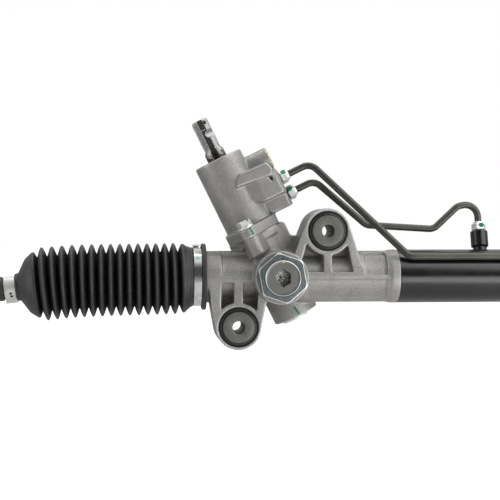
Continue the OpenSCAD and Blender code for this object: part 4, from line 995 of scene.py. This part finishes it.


# %% [markdown]
# ## Rack guide cap and lock nut
# The cap is turned alloy. Its face keeps the tool's rings, its rim has a small chamfer with a painted highlight
# and the hexagon socket is broached, with a rough floor darkened by painted shade. The zinc plated lock nut is
# wide and flat, with a dished face.

# %% Cap and lock nut
front = np.array([0.0, -1.0, 0.0])
upward = (0.0, 0.0, 1.0)
cap_reach = 55
cap_r = 17.3
cap_depth = 9
socket_af = 14.7
cap_columns = 192
socket = hexagon(socket_af, cap_columns, math.radians(30), 0.06)
cap_rows = [(37.0, 0.0), (37.0, cap_r - 0.6), (37.6, cap_r), (cap_reach - 1.0, cap_r),
            (cap_reach - 0.85, cap_r - 0.1), (cap_reach - 0.1, cap_r - 0.85), (cap_reach, cap_r - 1.0),
            (cap_reach - 0.16, cap_r - 1.4), (cap_reach - 0.16, cap_r - 3.0)]
cap_rows += [(cap_reach - 0.16, socket + 0.7 + (cap_r - 3.7 - socket) * share)
             for share in (0.75, 0.5, 0.25, 0.08)]
cap_rows += [(cap_reach - 0.2, socket + 0.55), (cap_reach - 0.75, socket),
             (cap_reach - cap_depth + 1.2, socket), (cap_reach - cap_depth + 0.7, socket * 0.93),
             (cap_reach - cap_depth + 0.3, socket * 0.5), (cap_reach - cap_depth, 0.0)]
cap_points = turned(cap_rows, [0, 0, 0], front, cap_columns, upward)
put(make_piece("guide_cap_turned", cap_points, turned_face, crease=34), "rack_guide_cap")

lock_nut_af = 43.6
nut_face = 53
nut_circle = 24.1
nut_columns = 240
nut_flats = hexagon(lock_nut_af, nut_columns, math.radians(-19), 0.4)
nut_rows = [(boss_face + 0.1, cap_r + 0.15), (boss_face + 0.1, nut_flats - 0.9),
            (boss_face + 0.8, nut_flats - 0.1), (boss_face + 1.5, nut_flats)]
nut_rows += [(place, soft_min(nut_flats, np.full(nut_columns, nut_circle + (nut_face - place) * 1.2), 0.3))
             for place in np.linspace(boss_face + 2.2, nut_face - 0.5, 8)]
nut_outer = soft_min(nut_flats, np.full(nut_columns, nut_circle), 0.3)
nut_rows += [(nut_face - 0.2, nut_outer - 0.15), (nut_face, nut_outer - 0.6), (nut_face, nut_outer - 0.8),
             (nut_face, cap_r + 1.0), (nut_face, cap_r + 0.8), (nut_face - 0.3, cap_r + 0.4),
             (nut_face - 0.8, cap_r + 0.15)]
nut_points = turned(nut_rows, [0, 0, 0], front, nut_columns, upward)
lock_nut = make_piece("guide_lock_nut_plated", nut_points, blued_zinc, loop=True, crease=28)
# The four rings of faces round the front edge take the brighter zinc, as a painted highlight along the edge
edge_highlight = np.zeros(len(lock_nut.data.polygons), dtype=np.int32)
edge_highlight[9 * nut_columns:13 * nut_columns] = 1
lock_nut.data.materials.append(bright_zinc)
lock_nut.data.polygons.foreach_set("material_index", edge_highlight)
put(lock_nut, "guide_lock_nut")

# %% [markdown]
# ## Bushes
# Each bush is a steel sleeve with a disc at both ends, bonded in rubber that swells a little where it shows.

# %% Bushes
ear_centres = {"upper": [48.0, 0.0, 45.5], "lower": [-40.4, 0.0, -49.1]}
hole_r, core_r, disc_r = 6.15, 9.97, 15.5
bush_end = 26.5
disc_seat = 23.1
ear_bore_r = 19.7
sleeve_outline = [[0, hole_r], [bush_end, hole_r], [bush_end, disc_r], [disc_seat, disc_r],
                  [disc_seat, core_r], [-disc_seat, core_r], [-disc_seat, disc_r], [-bush_end, disc_r],
                  [-bush_end, hole_r], [0, hole_r]]
rubber_half = [[0, core_r + 0.05], [22.9, core_r + 0.05], [22.9, disc_r - 0.5], [24.0, disc_r + 0.6],
               [23.4, disc_r + 2.2], [21.9, disc_r + 3.2], [22.6, ear_bore_r]]
rubber_outline = rubber_half + [[-along, r] for along, r in rubber_half[::-1]]
for name, centre in ear_centres.items():
    sleeve = disc(name + "_bush_disc", sleeve_outline, centre, front, bush_steel, 0.7)
    put(sleeve, name + "_bush_sleeve")
    ring = disc(name + "_bush_ring", rubber_outline, centre, front, rubber, 0.5)
    put(ring, name + "_bush_rubber")
print("bushes:", len(ear_centres))

# %% [markdown]
# ## Valve bolts, flare nuts and the end plug
# The bolts have a washer face and a chamfered head. Each pipe nut has a hexagon and a round shoulder.

# %% Bolts, pipe nuts and plug
tower_up = np.array([-math.sin(tower_tilt), 0.0, math.cos(tower_tilt)])
tower_side = np.array([math.cos(tower_tilt), 0.0, math.sin(tower_tilt)])
flange_top = 57.5
bolt_circle = 37.5
bolt_angle = math.radians(12.6)
head_top = 8.0
bolt_pieces = []
for side in (-1, 1):
    foot = from_tower([-side * bolt_circle * math.sin(bolt_angle), -side * bolt_circle * math.cos(bolt_angle),
                       flange_top])
    bolt_pieces.append(disc("washer", [[0.05, 0.0], [0.05, 8.5], [1.8, 8.5], [1.8, 0.0]], foot, tower_up,
                            bright_zinc, 0.5, 64, loop=False))
    flats = hexagon(13.0, 120)
    head = [(1.7, 0.0), (1.7, 7.0), (2.2, 7.4)]
    head += [(place, soft_min(flats, np.full(120, 6.2 + (head_top - place) * chamfer_slope), 0.15))
             for place in np.linspace(2.3, head_top - 0.1, 14)]
    head += [(head_top, 5.7), (head_top - 0.1, 5.0), (head_top - 0.7, 4.4), (head_top - 0.8, 0.0)]
    bolt_pieces.append(make_piece("head", turned(head, foot, tower_up, 120), bright_zinc))
joined("valve_bolt_heads", bolt_pieces, "valve_bolts")

port_up = np.array([0.0, math.sin(port_lean), math.cos(port_lean)])
pipe_ends = [(side_place(68.9, block_reach), tower_side), (side_place(86.6, block_reach), tower_side),
             (port_place(near_port, port_reach), port_up), (port_place(far_port, port_reach), port_up)]
nut_pieces = []
shoulder = [[6.4, pipe_r + 0.05], [8.9, pipe_r + 0.05], [8.9, 4.9], [6.4, 5.5], [6.4, pipe_r + 0.05]]
for place, way in pipe_ends:
    place = np.array(place)
    nut_pieces.append(hex_nut("hexagon", place + way * 0.05, way, 13.0, 6.9, pipe_r + 0.05, bright_zinc, 0.0,
                              (0.98, 0.9), 120))
    nut_pieces.append(disc("shoulder", shoulder, place, way, bright_zinc, 0.35, 64))
joined("flare_nuts_plated", nut_pieces, "flare_nuts")

plug_outline = [[-7.0, 0.0], [-7.0, 12.4], [0.05, 12.4], [0.05, 13.5], [3.0, 13.5], [3.0, 10.4], [2.3, 9.2],
                [2.3, 0.0]]
plug_seat = from_tower([0.0, 0.0, -foot_face])
plug = disc("pinion_plug_plated", plug_outline, plug_seat, -tower_up, bright_zinc, 0.7, loop=False)
put(plug, "pinion_end_plug")
print("hardware:", len(bolt_pieces), "bolt and", len(nut_pieces), "nut pieces")

# %% [markdown]
# ## Input shaft
# The shaft's end has 36 fine serrations for the steering column's joint. One strip of them is milled flat, a
# groove crosses them for the pinch bolt, and a pin hole goes in below the tip. Each of these is a limit on
# the radius, so the surface is the smallest of them all at each angle and height.

# %% Input shaft
shaft_columns = 432
spline_from, spline_to, shaft_top = 143.5, 173.5, 174.5
spline_r = 8.45
tooth_count = 36
tooth_depth = 0.5
flat_angle, flat_reach = math.radians(37), 7.95
groove_angle, groove_at, groove_r, groove_depth = math.radians(40), 158.4, 4.6, 3.0
pin_angle, pin_at, pin_r = math.radians(31), 170.3, 1.75
shaft_angle = ring_angles(shaft_columns)


def round_angle(centre):
    """Each column's angle from a centre, between -pi and pi."""
    return (shaft_angle - centre + np.pi) % (2 * np.pi) - np.pi


def spline_radius(along):
    """The serrated radius at a height, cut by the flat strip, the pinch groove and the pin hole."""
    fade = np.clip(np.minimum(along - spline_from, spline_to - along) / 1.5, 0, 1)
    tooth = 0.5 + 0.5 * np.cos(tooth_count * shaft_angle)
    radius = spline_r - tooth_depth * (tooth * fade) - 0.5 * (1 - fade)
    facing = np.maximum(np.cos(round_angle(flat_angle)), 0.05)
    radius = np.minimum(radius, flat_reach / facing)
    across = groove_r ** 2 - (along - groove_at) ** 2
    if across > 0:
        bottom = spline_r + groove_r - groove_depth - math.sqrt(across)
        radius = np.minimum(radius, bottom / np.maximum(np.cos(round_angle(groove_angle)), 0.05))
    away = np.hypot(round_angle(pin_angle) * spline_r, along - pin_at)
    return radius - 4.0 * np.clip((pin_r + 0.15 - away) / 0.3, 0, 1)


shaft_rows = [(170.5, 0.0), (170.5, 2.8), (160.5, 2.8), (160.5, 3.15), (58.0, 3.15), (58.0, 9.8),
              (58.4, 10.2), (139.2, 10.2), (139.8, 10.0), (spline_from - 0.4, 8.2)]
shaft_rows += [(along, spline_radius(along)) for along in np.arange(spline_from, spline_to + 0.01, 0.4)]
shaft_rows += [(spline_to + 0.3, 7.6), (shaft_top, 6.9), (shaft_top, 6.2), (shaft_top - 0.5, 5.4),
               (shaft_top - 0.5, 0.0)]
shaft_points = turned(shaft_rows, from_tower([0.0, 0.0, 0.0]), tower_up, shaft_columns, front)
shaft = make_piece("input_shaft_serrated", shaft_points, serrated_steel, crease=45)


def shaft_tone(points):
    """Tone of each point by its angle round the shaft from the front, as painted reflection: dark but for the
    flat, the groove and one lit flank.
    """
    across, behind, along = tower_places(points)
    angle = np.degrees(np.arctan2(across, -behind))
    # Painted reflection: dark where the serrations face the front, painted light on the left flank, bright on the
    # milled flat
    tone = np.interp(angle, [-26, -20, 15, 18, 55, 58], [0.5, 0.0, 0.0, 1.0, 1.0, 0.3])
    tone = np.maximum(tone, 0.5 * near(along, 163.8, 0.4) * (angle < 10))
    below_teeth = np.hypot(across, behind) < spline_r - tooth_depth - 0.1
    in_groove = near(along, groove_at, groove_r - 0.2) * below_teeth
    return np.maximum(tone, 0.9 * in_groove * (angle > -15))


shaft_places = mesh_arrays(shaft.data)[0]
tones = shaft.data.attributes.new("tone", "FLOAT", "POINT")
tones.data.foreach_set("value", shaft_tone((shaft_places - rack_origin) / MM))
put(shaft, "input_shaft", "input_shaft")
print("serrations:", tooth_count, "points:", len(shaft.data.vertices))

# %% [markdown]
# ## Tie rods, clamps and clips
# A rolled thread is a wave that climbs one pitch in each turn. The boot's clamp is a thin band with a crimped
# ear, and its small clip has a folded tang. An ear is a bump on the band's radius at one angle.

# %% Tie rods and jam nuts
tie_len = 210
thread_from = 150
thread_r = 7.0
thread_pitch = 1.5
left_way = np.array([-math.cos(tie_droop), 0.0, -math.sin(tie_droop)])
sides = {"left": (left_ball, left_way), "right": (right_ball, left_way * [-1, 1, 1])}
rod_columns = 72
rod_angle = ring_angles(rod_columns)


def thread_radius(along):
    """A triangle wave of depth 0.9 mm that climbs one pitch a turn, faded at both ends."""
    wave = np.abs(((along / thread_pitch - rod_angle / (2 * np.pi)) % 1) - 0.5) * 2
    return thread_r - 0.9 * wave * np.clip(min(along - thread_from, tie_len - 0.4 - along) / 1.5, 0, 1)


ball_r = 14.5
neck_radius = 6.8
ball_angle = np.linspace(0, math.pi - math.asin(neck_radius / ball_r), 32)
rod_rows = [(-ball_r * math.cos(a), ball_r * math.sin(a)) for a in ball_angle]
rod_rows += [(20.0, neck_radius), (24.0, 7.3), (30.0, tie_r), (148.0, tie_r), (149.4, thread_r)]
rod_rows += [(along, thread_radius(along)) for along in np.arange(thread_from, tie_len - 0.4, 0.25)]
rod_rows += [(tie_len - 0.2, 6.2), (tie_len, 5.6), (tie_len, 0.0)]
for side, (ball, way) in sides.items():
    rod_points = turned(rod_rows, [ball, 0, 0], way, rod_columns)
    rod = make_piece(side + "_tie_rod_threaded", rod_points, forged, crease=50)
    put(rod, side + "_tie_rod", side + "_tie_rod")
    nut_place = np.array([ball, 0, 0]) + way * (tie_len - 46)
    nut = hex_nut(side + "_jam_nut_plated", nut_place, way, 22.0, 11.0, 6.55, zinc)
    put(nut, side + "_jam_nut", side + "_tie_rod")
print("thread turns:", round((tie_len - thread_from) / thread_pitch))

# %% Bands
def band(name, origin, way, width, inner, thickness, ear, material, side, columns=360):
    """A thin band with an ear at the side direction. ear is (height, half width), in millimetres."""
    ear_height, ear_half = ear
    away = np.abs((ring_angles(columns) + np.pi) % (2 * np.pi) - np.pi) * inner
    rise = np.clip((ear_half - away) / 1.2, 0, 1)
    crown = 0.8 + 0.2 * np.cos(np.minimum(away / ear_half, 1) * np.pi)
    bump = ear_height * rise ** 2 * (3 - 2 * rise) * crown
    edge = thickness * 0.35
    rows = [(0.0, inner + edge + bump), (0.0, inner + thickness - edge + bump),
            (edge, inner + thickness + bump), (width - edge, inner + thickness + bump),
            (width, inner + thickness - edge + bump), (width, inner + edge + bump),
            (width - edge, inner + bump), (edge, inner + bump)]
    return make_piece(name, turned(rows, origin, way, columns, side), material, loop=True, crease=35)


clamp_from, clamp_width = 4.8 - barrel_left, 7.9
clip_from, clip_width = 85.6, 11.8
for side, (ball, way) in sides.items():
    level = np.array([-1.0, 0.0, 0.0]) if side == "left" else np.array([1.0, 0.0, 0.0])
    seat = np.array([middle, 0, 0]) + level * (middle + clamp_from)
    clamp = band(side + "_clamp_band", seat, level, clamp_width, collar_r + 0.05, 0.8, (3.1, 4.6), band_steel,
                 (0.0, 0.0, 1.0))
    put(clamp, side + "_boot_clamp")
    seat = np.array([ball, 0, 0]) + way * clip_from
    clip = band(side + "_clip_band", seat, way, clip_width, neck_r + 0.15, 0.7, (3.6, 3.0), clip_steel,
                (0.0, 0.0, -1.0))
    put(clip, side + "_boot_clip", side + "_tie_rod")
